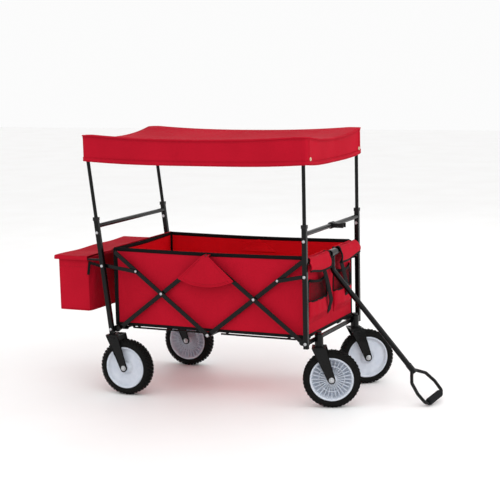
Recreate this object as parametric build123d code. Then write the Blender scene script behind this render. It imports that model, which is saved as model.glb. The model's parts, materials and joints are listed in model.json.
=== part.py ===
from build123d import *
import math
import os

# Folding children's wagon, millimetres, +Z up, +X towards the pull handle.
# Modelled about the middle of the wheelbase, then moved so that the origin
# is the middle of the whole wagon's box, on the ground.

# ---------------------------------------------------------------- frame ----
POST_SPAN = 772.0          # rear post to front post, along X, at the low rivets
POST_WIDTH = 510.0         # near post to far post, centre to centre
POST_SIZE = 17.0           # square tube
POST_WALL = 1.5
POST_CORNER = 2.5          # outside radius of the square tube's corners
LEAN = 0.12                # rear posts lean back by this much per mm of height
WHEEL_RADIUS = 101.5
CROWN_GAP = 19.0           # forks' crowns above the rear tyres
POST_BOTTOM_Z = 2 * WHEEL_RADIUS + CROWN_GAP
LOW_Z = POST_BOTTOM_Z + 18.0       # low cross tubes and scissor feet
POLE_BOLT_Z = LOW_Z + 356.0
CROSSBAR_Z = LOW_Z + 380.0
POST_TOP_Z = LOW_Z + 400.0
POLE_WALL = 1.2
POLE_PLAY = 1.0            # between a pole and the inside of its post
POLE_DIAMETER = POST_SIZE - 2 * POST_WALL - POLE_PLAY
POLE_INSERT = 80.0         # how far a canopy pole stands inside its post
CROSS_DIAMETER = 16.0

# -------------------------------------------------------------- scissor ----
SCISSOR_RISE = 280.0       # height of the bar tips above their feet
FOOT_REACH = 20.0          # scissor feet stand this far inboard of the posts
BAR_WIDTH = 16.0
BAR_THICK = 5.0
BAR_GAP = 2.0              # between the two layers of bars
BAR_EDGE = 1.2             # rounding along the edges of bars and struts
LAYER_GAP = 4.5            # from the posts' inner faces to the outer layer
PIN_DIAMETER = 6.0
STUD_DIAMETER = 8.0
RUNNING_GAP = 0.05
HEAD_DIAMETER = 11.0
HEAD_THICK = 2.4
REAR_STRUT_GRIP = 105.0    # from a bar's tip down to its strut, along the bar
FRONT_STRUT_GRIP = 114.0
STRUT_WIDTH = 14.0
STRUT_THICK = 3.4
FOLDED_REACH = 250.0       # between the scissor feet of the folded wagon
HUB_ROD_DIAMETER = 14.0
HUB_STUB_DIAMETER = 8.0    # ends of the hub rod, where the bars turn

# ------------------------------------------------------------------ tub ----
TUB_TOP_Z = LOW_Z + SCISSOR_RISE + 15.0
TUB_HALF_WIDTH = 218.0
TUB_END_INSET = 13.0       # end panels' outer faces, inboard of the posts
CLOTH = 3.0
SOFT_GAP = 0.3
BOARD_THICK = 5.0
RAIL_THICK = 4.0
RAIL_WIDTH = 22.0
RAIL_SPACING = 300.0
FLOOR_HINGE_REACH = 38.0   # floor hinges stand this far inboard of the posts
FLOOR_HINGE_DIAMETER = 8.0
FLOOR_EYE_WALL = 4.5
RAIL_LIFT = 9.5            # underside of the rails above the hinge axis
BOARD_START = 12.0
BOARD_SIDE_GAP = 4.0
BOARD_TIP_GAP = 4.0
POCKET_DEPTH = 15.0
POCKET_INNER_Y = 32.0
POCKET_OUTER_Y = 204.0
POCKET_LOW_Z = LOW_Z + 60.0
POCKET_HIGH_Z = LOW_Z + 212.0
NOTCH_HALF_WIDTH = 46.0
NOTCH_DEPTH = 50.0

# --------------------------------------------------------------- wheels ----
TYRE_WIDTH = 48.0
TYRE_DEPTH = 24.5
HUB_RADIUS = 17.0
AXLE_DIAMETER = 8.0
REAR_WHEEL_AHEAD = 57.0    # rear hubs ahead of the posts' feet
REAR_WHEEL_INSET = 7.0
STEM_AHEAD = 16.0          # caster stems ahead of the front posts
STEM_HALF_TRACK = 177.0
STEM_DIAMETER = 12.0
STEM_HOUSING_DIAMETER = 30.0
STEM_HOUSING_LOW_Z = LOW_Z - 23.0
STEM_HOUSING_HIGH_Z = LOW_Z + 20.0
CASTER_TRAIL = 43.0
NEAR_CASTER_YAW = 20.0
FAR_CASTER_YAW = 38.0
FORK_PLATE = 3.0
FORK_SIDE_GAP = 4.0
FORK_EYE_RADIUS = 14.0
FORK_TOP_WIDTH = 50.0

# --------------------------------------------------------------- handle ----
PIVOT_Z = LOW_Z + 280.0
HANDLE_DIAMETER = 19.0
HANDLE_BEND = 34.0
COLLAR_WIDTH = 54.0        # pivot collar on the front top tube
COLLAR_DIAMETER = 27.0
HANDLE_STUB = 61.0
HANDLE_LENGTH = 578.0      # from the bend to the middle of the grip
LOOP_LENGTH = 117.0
LOOP_ROD = 12.0
LOOP_HALF_WIDTH = 60.0
LOOP_ROLL = 15.0
GRIP_DIAMETER = 27.0
GRIP_LENGTH = 92.0
FLOOR_GAP = 0.6
CLIP_WALL = 4.0
CLIP_HEIGHT = 20.0

# --------------------------------------------------------------- canopy ----
CANOPY_TOP_Z = LOW_Z + 712.0
CANOPY_DEPTH = 95.0
CANOPY_CLOTH = 2.5
CANOPY_SLACK = 1.0
CAP_THICK = 4.0
COLLAR_HEIGHT = 12.0

# ------------------------------------------------------------------ bag ----
BAG_ROD_DIAMETER = 8.0
ROD_BEND = 16.0
BAG_ROD_Z = LOW_Z + 255.0
BAG_OUT = 613.0            # bag rod's outer run behind the middle of the wagon
BAG_LENGTH = 132.0
BAG_BOTTOM_Z = LOW_Z + 60.0
BAG_TOP_Z = BAG_ROD_Z + 5.0
LID_THICK = 5.0
LID_SKIRT = 14.0
LID_OVERHANG = 5.0
LID_HINGE_DIAMETER = 4.0

# ------------------------------------------------------- derived values ----
half_span = POST_SPAN / 2
rim_radius = WHEEL_RADIUS - TYRE_DEPTH
half_width = POST_WIDTH / 2
half_post = POST_SIZE / 2
inner_face = half_width - half_post
outer_face = half_width + half_post
outer_layer = inner_face - LAYER_GAP - BAR_THICK / 2
inner_layer = outer_layer - BAR_THICK - BAR_GAP
foot_x = half_span - FOOT_REACH
bar_angle = math.degrees(math.atan2(SCISSOR_RISE, foot_x))
half_bar = math.hypot(foot_x, SCISSOR_RISE) / 2
folded_angle = math.degrees(math.acos(FOLDED_REACH / (4 * half_bar)))
FOLD_LIMIT = folded_angle - bar_angle
floor_hinge_x = half_span - FLOOR_HINGE_REACH
FLOOR_RATIO = 90.0 / FOLD_LIMIT
end_outer = half_span - TUB_END_INSET
end_inner = end_outer - CLOTH
stem_x = half_span + STEM_AHEAD
rear_wheel_x = -half_span + REAR_WHEEL_AHEAD
rear_wheel_y = half_width - REAR_WHEEL_INSET
canopy_half_width = half_width + POLE_DIAMETER / 2 + CANOPY_SLACK + CANOPY_CLOTH
pole_top_z = CANOPY_TOP_Z - CANOPY_CLOTH - SOFT_GAP - CAP_THICK


def rear_x(z):
    """X of a rear post's middle at a height."""
    return -half_span - (z - LOW_Z) * LEAN


def folding_gap(turn):
    """Distance between the scissor feet when the bars have turned."""
    return 4 * half_bar * math.cos(math.radians(bar_angle + turn))


def board_reach():
    """Longest floor board whose tip misses its partner all through the fold."""
    reach = float("inf")
    steps = 80
    for i in range(steps):
        turn = FOLD_LIMIT * i / steps
        lift = math.radians(FLOOR_RATIO * turn)
        hinge_gap = folding_gap(turn) - 2 * (FLOOR_HINGE_REACH - FOOT_REACH)
        room = (hinge_gap - BOARD_TIP_GAP) / 2 + RAIL_LIFT * math.sin(lift)
        reach = min(reach, room / math.cos(lift))
    return reach


def strut_foot(lean, grip):
    """Height above the feet where a strut of fixed length suits both limits."""
    grips = []
    for angle in (bar_angle, folded_angle):
        turn = math.radians(angle)
        tip = 2 * half_bar * math.sin(turn)
        grips.append((grip * math.cos(turn), tip - grip * math.sin(turn)))
    (x0, z0), (x1, z1) = grips
    fixed = (x0 * x0 + z0 * z0 - x1 * x1 - z1 * z1) / 2 + FOOT_REACH * (x0 - x1)
    return fixed / ((z0 - z1) - lean * (x0 - x1)), grips


def strut_turn(lean, grip):
    """A strut's foot height and its angles at rest and folded."""
    height, grips = strut_foot(lean, grip)
    foot = (-FOOT_REACH - lean * height, height)
    angles = [math.degrees(math.atan2(g[1] - foot[1], g[0] - foot[0])) for g in grips]
    return height, angles


board_tip = board_reach()
rear_strut_height, rear_strut_angles = strut_turn(LEAN, REAR_STRUT_GRIP)
front_strut_height, front_strut_angles = strut_turn(0.0, FRONT_STRUT_GRIP)
REAR_STRUT_RATIO = (rear_strut_angles[1] - rear_strut_angles[0]) / FOLD_LIMIT
FRONT_STRUT_RATIO = (front_strut_angles[1] - front_strut_angles[0]) / FOLD_LIMIT
rear_strut_z = LOW_Z + rear_strut_height
front_strut_z = LOW_Z + front_strut_height


# -------------------------------------------------------------- helpers ----
def rod(start, end, diameter, bore=0.0):
    """Round bar or tube between two points."""
    line = Vector(end) - Vector(start)
    plane = Plane(origin=start, z_dir=line)
    body = extrude(plane * Circle(diameter / 2), amount=line.length)
    if bore > 0:
        body -= extrude(plane * Circle(bore / 2), amount=line.length)
    return body


def cross(x, z, y0, y1, diameter, bore=0.0):
    """Round bar or tube along Y."""
    return rod((x, y0, z), (x, y1, z), diameter, bore)


def plate(outline, y0, y1):
    """Flat plate: an outline in X and Z, thick along Y."""
    low = min(y0, y1)
    return extrude(Plane.XZ.offset(-low) * outline, amount=-abs(y1 - y0))


def block(x0, x1, y0, y1, z0, z1):
    """Rectangular block between two corners."""
    size = (abs(x1 - x0), abs(y1 - y0), abs(z1 - z0))
    return Pos((x0 + x1) / 2, (y0 + y1) / 2, (z0 + z1) / 2) * Box(*size)


def link(x0, z0, x1, z1, width, y0, y1, holes=()):
    """Flat link with round ends, and holes given as (x, z, diameter)."""
    length = math.hypot(x1 - x0, z1 - z0)
    turn = math.degrees(math.atan2(z1 - z0, x1 - x0))
    middle = Pos((x0 + x1) / 2, (z0 + z1) / 2)
    outline = middle * Rot(0, 0, turn) * SlotCenterToCenter(length, width)
    body = plate(outline, y0, y1)
    body = fillet(body.edges().filter_by_position(Axis.Y, min(y0, y1), min(y0, y1))
                  + body.edges().filter_by_position(Axis.Y, max(y0, y1), max(y0, y1)), BAR_EDGE)
    for x, z, diameter in holes:
        body -= cross(x, z, min(y0, y1) - 1, max(y0, y1) + 1, diameter)
    return body


def far_copy(shape):
    """The same piece on the wagon's far side."""
    return mirror(shape, about=Plane.XZ)


def both(shape):
    """A near piece and its far twin, as separate solids."""
    return [shape, far_copy(shape)]


def headed_pin(x, z, y_out, y_in, diameter, out_head=True, in_head=True):
    """Near-side pin along Y with domed heads beyond y_out and y_in."""
    body = cross(x, z, -y_out, -y_in, diameter)
    if out_head:
        body += cross(x, z, -y_out - HEAD_THICK, -y_out, HEAD_DIAMETER)
    if in_head:
        body += cross(x, z, -y_in, -y_in + HEAD_THICK, HEAD_DIAMETER)
    return body


parts = {}
bodies = {}


def add(body, name, shapes):
    """Keep one node's solids under its name and its moving body."""
    listed = shapes if isinstance(shapes, list) else [shapes]
    solids = []
    for shape in listed:
        solids.extend(shape.solids())
    parts[name] = solids
    bodies.setdefault(body, []).append(name)


# ----------------------------------------------------- posts and rivets ----
def post_outline(x_low, x_high, size):
    """Side view of a post, upright or leaning."""
    corners = [
        (x_low - size / 2, POST_BOTTOM_Z),
        (x_low + size / 2, POST_BOTTOM_Z),
        (x_high + size / 2, POST_TOP_Z),
        (x_high - size / 2, POST_TOP_Z),
    ]
    return make_face(Polyline(*corners, close=True))


def make_post(x_low, x_high, pins):
    """Near square post, bored for its pins."""
    bore_half = half_post - POST_WALL
    body = plate(post_outline(x_low, x_high, POST_SIZE), -outer_face, -inner_face)
    corners = [edge for edge in body.edges() if edge.length > 2 * POST_SIZE]
    body = fillet(corners, POST_CORNER)
    bore = post_outline(x_low, x_high, POST_SIZE - 2 * POST_WALL)
    body -= plate(bore, -half_width - bore_half, -half_width + bore_half)
    for x, z, diameter in pins:
        body -= cross(x, z, -outer_face - 1, -inner_face + 1, diameter)
    return body


def make_pole(x_at, bolt_x):
    """Near canopy pole, standing in its post."""
    start = (x_at(POST_TOP_Z - POLE_INSERT), -half_width, POST_TOP_Z - POLE_INSERT)
    over = pole_top_z + POLE_DIAMETER
    end = (x_at(over), -half_width, over)
    body = rod(start, end, POLE_DIAMETER, POLE_DIAMETER - 2 * POLE_WALL)
    side = 2 * POLE_DIAMETER
    body -= block(x_at(over) - side, x_at(over) + side, -half_width - side, -half_width + side,
                  pole_top_z, over + side)
    bolt = cross(bolt_x, POLE_BOLT_Z, -outer_face, -inner_face, PIN_DIAMETER)
    return body - bolt


def make_collar_and_cap(x_at):
    """Moulded collar on a post's top, and cap on its pole's top."""
    x = x_at(POST_TOP_Z + COLLAR_HEIGHT / 2)
    side = half_post + 1.5
    collar = block(x - side, x + side, -half_width - side, -half_width + side,
                   POST_TOP_Z, POST_TOP_Z + COLLAR_HEIGHT)
    collar = fillet(collar.edges().filter_by(Axis.Z), 3)
    low = (x_at(POST_TOP_Z - 5), -half_width, POST_TOP_Z - 5)
    high = (x_at(POST_TOP_Z + 30), -half_width, POST_TOP_Z + 30)
    collar -= rod(low, high, POLE_DIAMETER + 2 * RUNNING_GAP)
    cap = Pos(x_at(pole_top_z), -half_width, pole_top_z + CAP_THICK / 2) * Cylinder(
        POLE_DIAMETER / 2, CAP_THICK)
    return [collar, cap]


def front_x(z):
    """X of a front post's middle at a height: it is upright."""
    return half_span


rear_pins = [
    (rear_x(LOW_Z), LOW_Z, PIN_DIAMETER),
    (rear_x(rear_strut_z), rear_strut_z, PIN_DIAMETER),
    (rear_x(POLE_BOLT_Z), POLE_BOLT_Z, PIN_DIAMETER),
]
front_pins = [
    (half_span, LOW_Z, PIN_DIAMETER),
    (half_span, front_strut_z, PIN_DIAMETER),
    (half_span, POLE_BOLT_Z, PIN_DIAMETER),
]
strut_outer = inner_face - 0.4
strut_inner = strut_outer - STRUT_THICK


def end_rivets(pins):
    """Near rivets of one end frame: foot, strut and pole bolts."""
    (foot_px, foot_pz, _), (strut_px, strut_pz, _), (pole_px, pole_pz, _) = pins
    foot = headed_pin(foot_px, foot_pz, outer_face, half_width + half_post - POST_WALL - 2,
                      PIN_DIAMETER, in_head=False)
    strut = headed_pin(strut_px, strut_pz, outer_face, strut_inner, PIN_DIAMETER, in_head=False)
    pole = headed_pin(pole_px, pole_pz, outer_face, inner_face, PIN_DIAMETER)
    return [foot, strut, pole]


rear_post = make_post(rear_x(POST_BOTTOM_Z), rear_x(POST_TOP_Z), rear_pins)
front_post = make_post(half_span, half_span, front_pins)
rear_pole = make_pole(rear_x, rear_x(POLE_BOLT_Z))
front_pole = make_pole(front_x, half_span)

add("rear_frame", "rear_post_near", rear_post)
add("rear_frame", "rear_post_far", far_copy(rear_post))
add("rear_frame", "rear_pole_near", rear_pole)
add("rear_frame", "rear_pole_far", far_copy(rear_pole))
rivets = []
for piece in end_rivets(rear_pins):
    rivets += both(piece)
add("rear_frame", "rear_rivets", rivets)
caps = []
for piece in make_collar_and_cap(rear_x):
    caps += both(piece)
add("rear_frame", "rear_pole_caps", caps)

add("front_frame", "front_post_near", front_post)
add("front_frame", "front_post_far", far_copy(front_post))
add("front_frame", "front_pole_near", front_pole)
add("front_frame", "front_pole_far", far_copy(front_pole))
rivets = []
for piece in end_rivets(front_pins):
    rivets += both(piece)
add("front_frame", "front_rivets", rivets)
caps = []
for piece in make_collar_and_cap(front_x):
    caps += both(piece)
add("front_frame", "front_pole_caps", caps)


# ---------------------------------------------------------- cross tubes ----
def cross_tube(x, z):
    """Tube between the posts' inner faces."""
    return cross(x, z, -inner_face, inner_face, CROSS_DIAMETER, CROSS_DIAMETER - 2 * POLE_WALL)


add("rear_frame", "rear_push_bar", cross_tube(rear_x(CROSSBAR_Z), CROSSBAR_Z))
add("rear_frame", "rear_low_tube", cross_tube(rear_x(LOW_Z), LOW_Z))
add("front_frame", "front_crossbar", cross_tube(half_span, CROSSBAR_Z))
add("front_frame", "front_top_tube", cross_tube(half_span, PIVOT_Z))
add("front_frame", "front_low_tube", cross_tube(half_span, LOW_Z))


# -------------------------------------------- scissor feet, floor hinges ----
def foot_bracket(side, layer, tube_x):
    """Near bracket on a post that carries one bar's foot on a stud."""
    plate_in = inner_face - LAYER_GAP + 0.5
    body = link(side * half_span, LOW_Z, side * foot_x, LOW_Z, POST_SIZE + 4, -inner_face, -plate_in)
    bar_out = layer + BAR_THICK / 2
    if plate_in - bar_out > 1:
        body += cross(side * foot_x, LOW_Z, -plate_in, -bar_out - 0.3, STUD_DIAMETER + 6)
    bar_in = layer - BAR_THICK / 2
    body += cross(side * foot_x, LOW_Z, -plate_in, -bar_in + 0.3, STUD_DIAMETER)
    body += cross(side * foot_x, LOW_Z, -bar_in + 0.3, -bar_in + 0.3 + HEAD_THICK,
                  HEAD_DIAMETER + 2)
    body -= cross(tube_x, LOW_Z, -inner_face - 1, -plate_in + 1, CROSS_DIAMETER)
    return body


def floor_hinge(side, tube_x):
    """Hinge rod under one end of the floor, with its two lugs on the low tube."""
    x = side * floor_hinge_x
    lug_y = TUB_HALF_WIDTH - CLOTH - BOARD_SIDE_GAP
    body = cross(x, LOW_Z, -lug_y, lug_y, FLOOR_HINGE_DIAMETER)
    for sign in (-1, 1):
        lug = link(tube_x, LOW_Z, x, LOW_Z, 2 * 7.5, sign * lug_y, sign * (lug_y - 4))
        body += lug
    body -= cross(tube_x, LOW_Z, -lug_y - 1, lug_y + 1, CROSS_DIAMETER)
    return body


add("rear_frame", "rear_hinge_hardware",
    both(foot_bracket(-1, inner_layer, rear_x(LOW_Z))) + [floor_hinge(-1, rear_x(LOW_Z))])
add("front_frame", "front_hinge_hardware",
    both(foot_bracket(1, outer_layer, half_span)) + [floor_hinge(1, half_span)])

tip_z = LOW_Z + SCISSOR_RISE
cross_x = foot_x / 2
cross_z = LOW_Z + SCISSOR_RISE / 2
pin_hole = PIN_DIAMETER + 2 * RUNNING_GAP
stud_hole = STUD_DIAMETER + 2 * RUNNING_GAP
hub_hole = HUB_STUB_DIAMETER + 2 * RUNNING_GAP


def bar(x0, z0, x1, z1, layer, holes):
    """Near flat scissor bar in one layer."""
    half = BAR_THICK / 2
    return link(x0, z0, x1, z1, BAR_WIDTH, -layer - half, -layer + half, holes)


foot_bar_rear = bar(-foot_x, LOW_Z, 0, tip_z, inner_layer,
                    [(-foot_x, LOW_Z, stud_hole), (-cross_x, cross_z, PIN_DIAMETER),
                     (0, tip_z, PIN_DIAMETER)])
tip_bar_rear = bar(-foot_x, tip_z, 0, LOW_Z, outer_layer,
                   [(-cross_x, cross_z, pin_hole), (0, LOW_Z, HUB_STUB_DIAMETER)])
foot_bar_front = bar(foot_x, LOW_Z, 0, tip_z, outer_layer,
                     [(foot_x, LOW_Z, stud_hole), (cross_x, cross_z, PIN_DIAMETER),
                      (0, tip_z, pin_hole)])
tip_bar_front = bar(foot_x, tip_z, 0, LOW_Z, inner_layer,
                    [(cross_x, cross_z, pin_hole), (0, LOW_Z, hub_hole)])
pin_out = outer_layer + BAR_THICK / 2
pin_in = inner_layer - BAR_THICK / 2
rear_pins_out = pin_out + 0.3
front_pins_in = pin_in - 0.3

add("foot_bars_rear", "foot_bars_rear", both(foot_bar_rear))
add("foot_bars_rear", "foot_bar_pins_rear",
    both(headed_pin(-cross_x, cross_z, rear_pins_out, pin_in, PIN_DIAMETER))
    + both(headed_pin(0, tip_z, rear_pins_out, pin_in, PIN_DIAMETER)))
add("foot_bars_front", "foot_bars_front", both(foot_bar_front))
add("foot_bars_front", "foot_bar_pins_front",
    both(headed_pin(cross_x, cross_z, pin_out, front_pins_in, PIN_DIAMETER)))
add("tip_bars_rear", "tip_bars_rear", both(tip_bar_rear))
add("tip_bars_front", "tip_bars_front", both(tip_bar_front))

hub_shoulder = pin_in - 0.3
hub_rod = cross(0, LOW_Z, -hub_shoulder, hub_shoulder, HUB_ROD_DIAMETER)
hub_rod += cross(0, LOW_Z, -pin_out, pin_out, HUB_STUB_DIAMETER)
for sign in (-1, 1):
    nut_y = sign * (pin_out + 3.2)
    hub_rod += cross(0, LOW_Z, sign * pin_out, nut_y, HEAD_DIAMETER + 2)
add("tip_bars_rear", "hub_rod", hub_rod)


# --------------------------------------------------------------- struts ----
def strut(side, foot_px, foot_pz, grip, layer):
    """Near strut from its post down to the bar it braces."""
    turn = math.radians(bar_angle)
    grip_x = side * (foot_x - grip * math.cos(turn))
    grip_z = tip_z - grip * math.sin(turn)
    body = link(foot_px, foot_pz, grip_x, grip_z, STRUT_WIDTH, -strut_outer, -strut_inner,
                [(foot_px, foot_pz, pin_hole)])
    boss_in = layer + BAR_THICK / 2 + SOFT_GAP
    if strut_inner - boss_in > 1:
        body += cross(grip_x, grip_z, -strut_inner, -boss_in, STRUT_WIDTH - 2)
    return body


add("struts_rear", "struts_rear",
    both(strut(-1, rear_x(rear_strut_z), rear_strut_z, REAR_STRUT_GRIP, outer_layer)))
add("struts_front", "struts_front",
    both(strut(1, half_span, front_strut_z, FRONT_STRUT_GRIP, inner_layer)))


# ---------------------------------------------------------------- floor ----
board_half_width = TUB_HALF_WIDTH - CLOTH - BOARD_SIDE_GAP


def floor_half(side):
    """One floor board and its two rails, hinged at an end frame."""
    hinge = side * floor_hinge_x
    inward = -side
    low = LOW_Z + RAIL_LIFT
    rails = []
    for row in (-1, 1):
        y = row * RAIL_SPACING / 2
        y0 = y - RAIL_WIDTH / 2
        y1 = y + RAIL_WIDTH / 2
        eye = FLOOR_HINGE_DIAMETER + 2 * FLOOR_EYE_WALL
        rail = cross(hinge, LOW_Z, y0, y1, eye)
        rail += block(hinge - 5, hinge + 5, y0, y1, LOW_Z, low + RAIL_THICK)
        rail += block(hinge + inward * 4, hinge + inward * board_tip, y0, y1, low, low + RAIL_THICK)
        rail -= cross(hinge, LOW_Z, y0 - 1, y1 + 1, FLOOR_HINGE_DIAMETER + 2 * RUNNING_GAP)
        rails.append(rail)
    board = block(hinge + inward * BOARD_START, hinge + inward * board_tip,
                  -board_half_width, board_half_width, low + RAIL_THICK, low + RAIL_THICK + BOARD_THICK)
    corners = board.edges().filter_by(Axis.Z)
    board = fillet(corners, 10)
    return rails, board


rails, board = floor_half(-1)
add("floor_rear", "floor_rails_rear", rails)
add("floor_rear", "floor_board_rear", board)
rails, board = floor_half(1)
add("floor_front", "floor_rails_front", rails)
add("floor_front", "floor_board_front", board)


# ------------------------------------------------------------------ tub ----
board_top = LOW_Z + RAIL_LIFT + RAIL_THICK + BOARD_THICK
tub_bottom_z = LOW_Z + CROSS_DIAMETER / 2 + SOFT_GAP + 1.5
side_panel = block(-end_outer + CLOTH + SOFT_GAP, end_inner - SOFT_GAP,
                   -TUB_HALF_WIDTH, -TUB_HALF_WIDTH + CLOTH, tub_bottom_z, TUB_TOP_Z)
side_reach = TUB_HALF_WIDTH
rear_panel = block(-end_outer, -end_inner, -side_reach, side_reach, tub_bottom_z, TUB_TOP_Z)
front_panel = block(end_inner, end_outer, -side_reach, side_reach, tub_bottom_z, TUB_TOP_Z)
front_panel -= block(end_inner - 1, end_outer + 1, -NOTCH_HALF_WIDTH, NOTCH_HALF_WIDTH,
                     TUB_TOP_Z - NOTCH_DEPTH, TUB_TOP_Z + 1)
pocket_out = end_outer + POCKET_DEPTH + CLOTH
for sign in (-1, 1):
    y0 = sign * POCKET_INNER_Y
    y1 = sign * POCKET_OUTER_Y
    pouch = block(end_outer, pocket_out, y0, y1, POCKET_LOW_Z, POCKET_HIGH_Z)
    pouch -= block(end_outer, end_outer + POCKET_DEPTH, y0 + sign * CLOTH, y1 - sign * CLOTH,
                   POCKET_LOW_Z + CLOTH, POCKET_HIGH_Z + 1)
    front_panel += pouch
add("rear_frame", "tub_rear_panel", rear_panel)
add("rear_frame", "tub_side_near", side_panel)
add("rear_frame", "tub_side_far", far_copy(side_panel))
add("front_frame", "tub_front_panel", front_panel)


# --------------------------------------------------------------- canopy ----
canopy_rear = rear_x(pole_top_z) - POLE_DIAMETER / 2 - CANOPY_SLACK - CANOPY_CLOTH
canopy_front = half_span + POLE_DIAMETER / 2 + CANOPY_SLACK + CANOPY_CLOTH + 8
canopy_low = CANOPY_TOP_Z - CANOPY_DEPTH
canopy = block(canopy_rear, canopy_front, -canopy_half_width, canopy_half_width,
               canopy_low, CANOPY_TOP_Z)
canopy -= block(canopy_rear + CANOPY_CLOTH, canopy_front - CANOPY_CLOTH,
                -canopy_half_width + CANOPY_CLOTH, canopy_half_width - CANOPY_CLOTH,
                canopy_low - 1, CANOPY_TOP_Z - CANOPY_CLOTH)
add("rear_frame", "canopy_cover", canopy)


# ------------------------------------------------------------------ bag ----
post_back = rear_x(BAG_ROD_Z)
bag_front = -BAG_OUT + BAG_ROD_DIAMETER / 2 + SOFT_GAP + BAG_LENGTH
bag_back = -BAG_OUT + BAG_ROD_DIAMETER / 2 + SOFT_GAP
bag_half = half_width - BAG_ROD_DIAMETER / 2 - SOFT_GAP
rod_points = [
    (post_back, -half_width, BAG_ROD_Z),
    (-BAG_OUT, -half_width, BAG_ROD_Z),
    (-BAG_OUT, half_width, BAG_ROD_Z),
    (post_back, half_width, BAG_ROD_Z),
]
rod_path = FilletPolyline(*rod_points, radius=ROD_BEND)
bag_rod = sweep(Plane(origin=rod_points[0], z_dir=(-1, 0, 0)) * Circle(BAG_ROD_DIAMETER / 2), path=rod_path)
for post in both(plate(post_outline(rear_x(POST_BOTTOM_Z), rear_x(POST_TOP_Z), POST_SIZE),
                       -outer_face, -inner_face)):
    bag_rod -= post
add("rear_frame", "bag_rod", bag_rod)

bag = block(bag_back, bag_front, -bag_half, bag_half, BAG_BOTTOM_Z, BAG_TOP_Z)
bag = fillet(bag.edges().filter_by(Axis.Z), ROD_BEND - BAG_ROD_DIAMETER / 2 - SOFT_GAP)
bag -= block(bag_back + CLOTH, bag_front - CLOTH, -bag_half + CLOTH, bag_half - CLOTH,
             BAG_BOTTOM_Z + CLOTH, BAG_TOP_Z + 1)
bridge_top = (-end_outer - SOFT_GAP, TUB_TOP_Z - 3)
bridge_low = (bag_front + LID_HINGE_DIAMETER + 2, BAG_TOP_Z)
bridge_outline = make_face(Polyline(
    (bag_front, BAG_TOP_Z - 12), bridge_low, bridge_top,
    (bridge_top[0], bridge_top[1] - 4), (bridge_low[0], BAG_TOP_Z - 15), (bag_front, BAG_TOP_Z - 15),
    close=True))
bag += plate(bridge_outline, -TUB_HALF_WIDTH, TUB_HALF_WIDTH)
add("rear_frame", "bag_shell", bag)

hinge_x = bag_front - LID_HINGE_DIAMETER / 2
hinge_z = BAG_TOP_Z + SOFT_GAP + LID_HINGE_DIAMETER / 2
lid_half = bag_half + BAG_ROD_DIAMETER + LID_OVERHANG
lid_back = -BAG_OUT - BAG_ROD_DIAMETER / 2 - LID_OVERHANG
lid_low = BAG_TOP_Z + SOFT_GAP
lid = block(lid_back, hinge_x - 1, -lid_half, lid_half, lid_low, lid_low + LID_THICK)
lid += cross(hinge_x, hinge_z, -lid_half + 8, lid_half - 8, LID_HINGE_DIAMETER)
lid += block(lid_back, lid_back + CLOTH, -lid_half, lid_half, lid_low - LID_SKIRT, lid_low + 1)
for sign in (-1, 1):
    lid += block(lid_back, hinge_x - 26, sign * lid_half, sign * (lid_half - CLOTH),
                 lid_low - LID_SKIRT, lid_low + 1)
add("bag_lid", "bag_lid", lid)


# --------------------------------------------------------------- wheels ----
def make_tyre():
    """Foam tyre about the Y axis, resting on its rim."""
    half = TYRE_WIDTH / 2
    shoulder = 11.0
    outline = make_face(Polyline(
        (rim_radius, -half + 5), (rim_radius + 6, -half), (WHEEL_RADIUS - shoulder, -half),
        (WHEEL_RADIUS - 2, -half + shoulder), (WHEEL_RADIUS, 0), (WHEEL_RADIUS - 2, half - shoulder),
        (WHEEL_RADIUS - shoulder, half), (rim_radius + 6, half), (rim_radius, half - 5), close=True))
    return revolve(outline, axis=Axis.Y, revolution_arc=360)


def make_disc():
    """Moulded wheel disc: hub, web and rim, bored for its axle."""
    half = TYRE_WIDTH / 2 - 4
    web = 4.0
    outline = make_face(Polyline(
        (AXLE_DIAMETER / 2 + RUNNING_GAP, -half - 2), (HUB_RADIUS, -half - 2), (HUB_RADIUS, -web),
        (rim_radius - 6, -web), (rim_radius - 3, -half), (rim_radius, -half), (rim_radius, half),
        (rim_radius - 3, half), (rim_radius - 6, web), (HUB_RADIUS, web), (HUB_RADIUS, half + 2),
        (AXLE_DIAMETER / 2 + RUNNING_GAP, half + 2), close=True))
    return revolve(outline, axis=Axis.Y, revolution_arc=360)


leg_inner = TYRE_WIDTH / 2 + FORK_SIDE_GAP
leg_outer = leg_inner + FORK_PLATE


def make_fork(top_x, top_z):
    """Stamped fork whose hub is at the origin and whose crown is at (top_x, top_z)."""
    half_top = FORK_TOP_WIDTH / 2
    length = math.hypot(top_x, top_z)
    nx = top_z / length * FORK_EYE_RADIUS
    nz = -top_x / length * FORK_EYE_RADIUS
    outline = make_face(Polyline(
        (-nx, -nz), (top_x - half_top, top_z), (top_x + half_top, top_z), (nx, nz), close=True))
    outline += Circle(FORK_EYE_RADIUS)
    outline -= Circle(AXLE_DIAMETER / 2)
    body = plate(outline, -leg_outer, -leg_inner) + plate(outline, leg_inner, leg_outer)
    body += block(top_x - half_top, top_x + half_top, -leg_outer, leg_outer, top_z - FORK_PLATE, top_z)
    return body


def make_axle():
    """Axle bolt with a domed head and a nut outside the fork's legs, and two spacers."""
    body = cross(0, 0, -leg_outer, leg_outer, AXLE_DIAMETER)
    body += cross(0, 0, -leg_outer - 4, -leg_outer, AXLE_DIAMETER + 7)
    body += cross(0, 0, leg_outer, leg_outer + 4, AXLE_DIAMETER + 7)
    for sign in (-1, 1):
        body += cross(0, 0, sign * (TYRE_WIDTH / 2 - 4 + 2 + SOFT_GAP), sign * leg_inner, AXLE_DIAMETER + 6)
    return body


tyre = make_tyre()
disc = make_disc()
axle = make_axle()
rear_fork = make_fork(-REAR_WHEEL_AHEAD + 12, POST_BOTTOM_Z - WHEEL_RADIUS)

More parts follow.
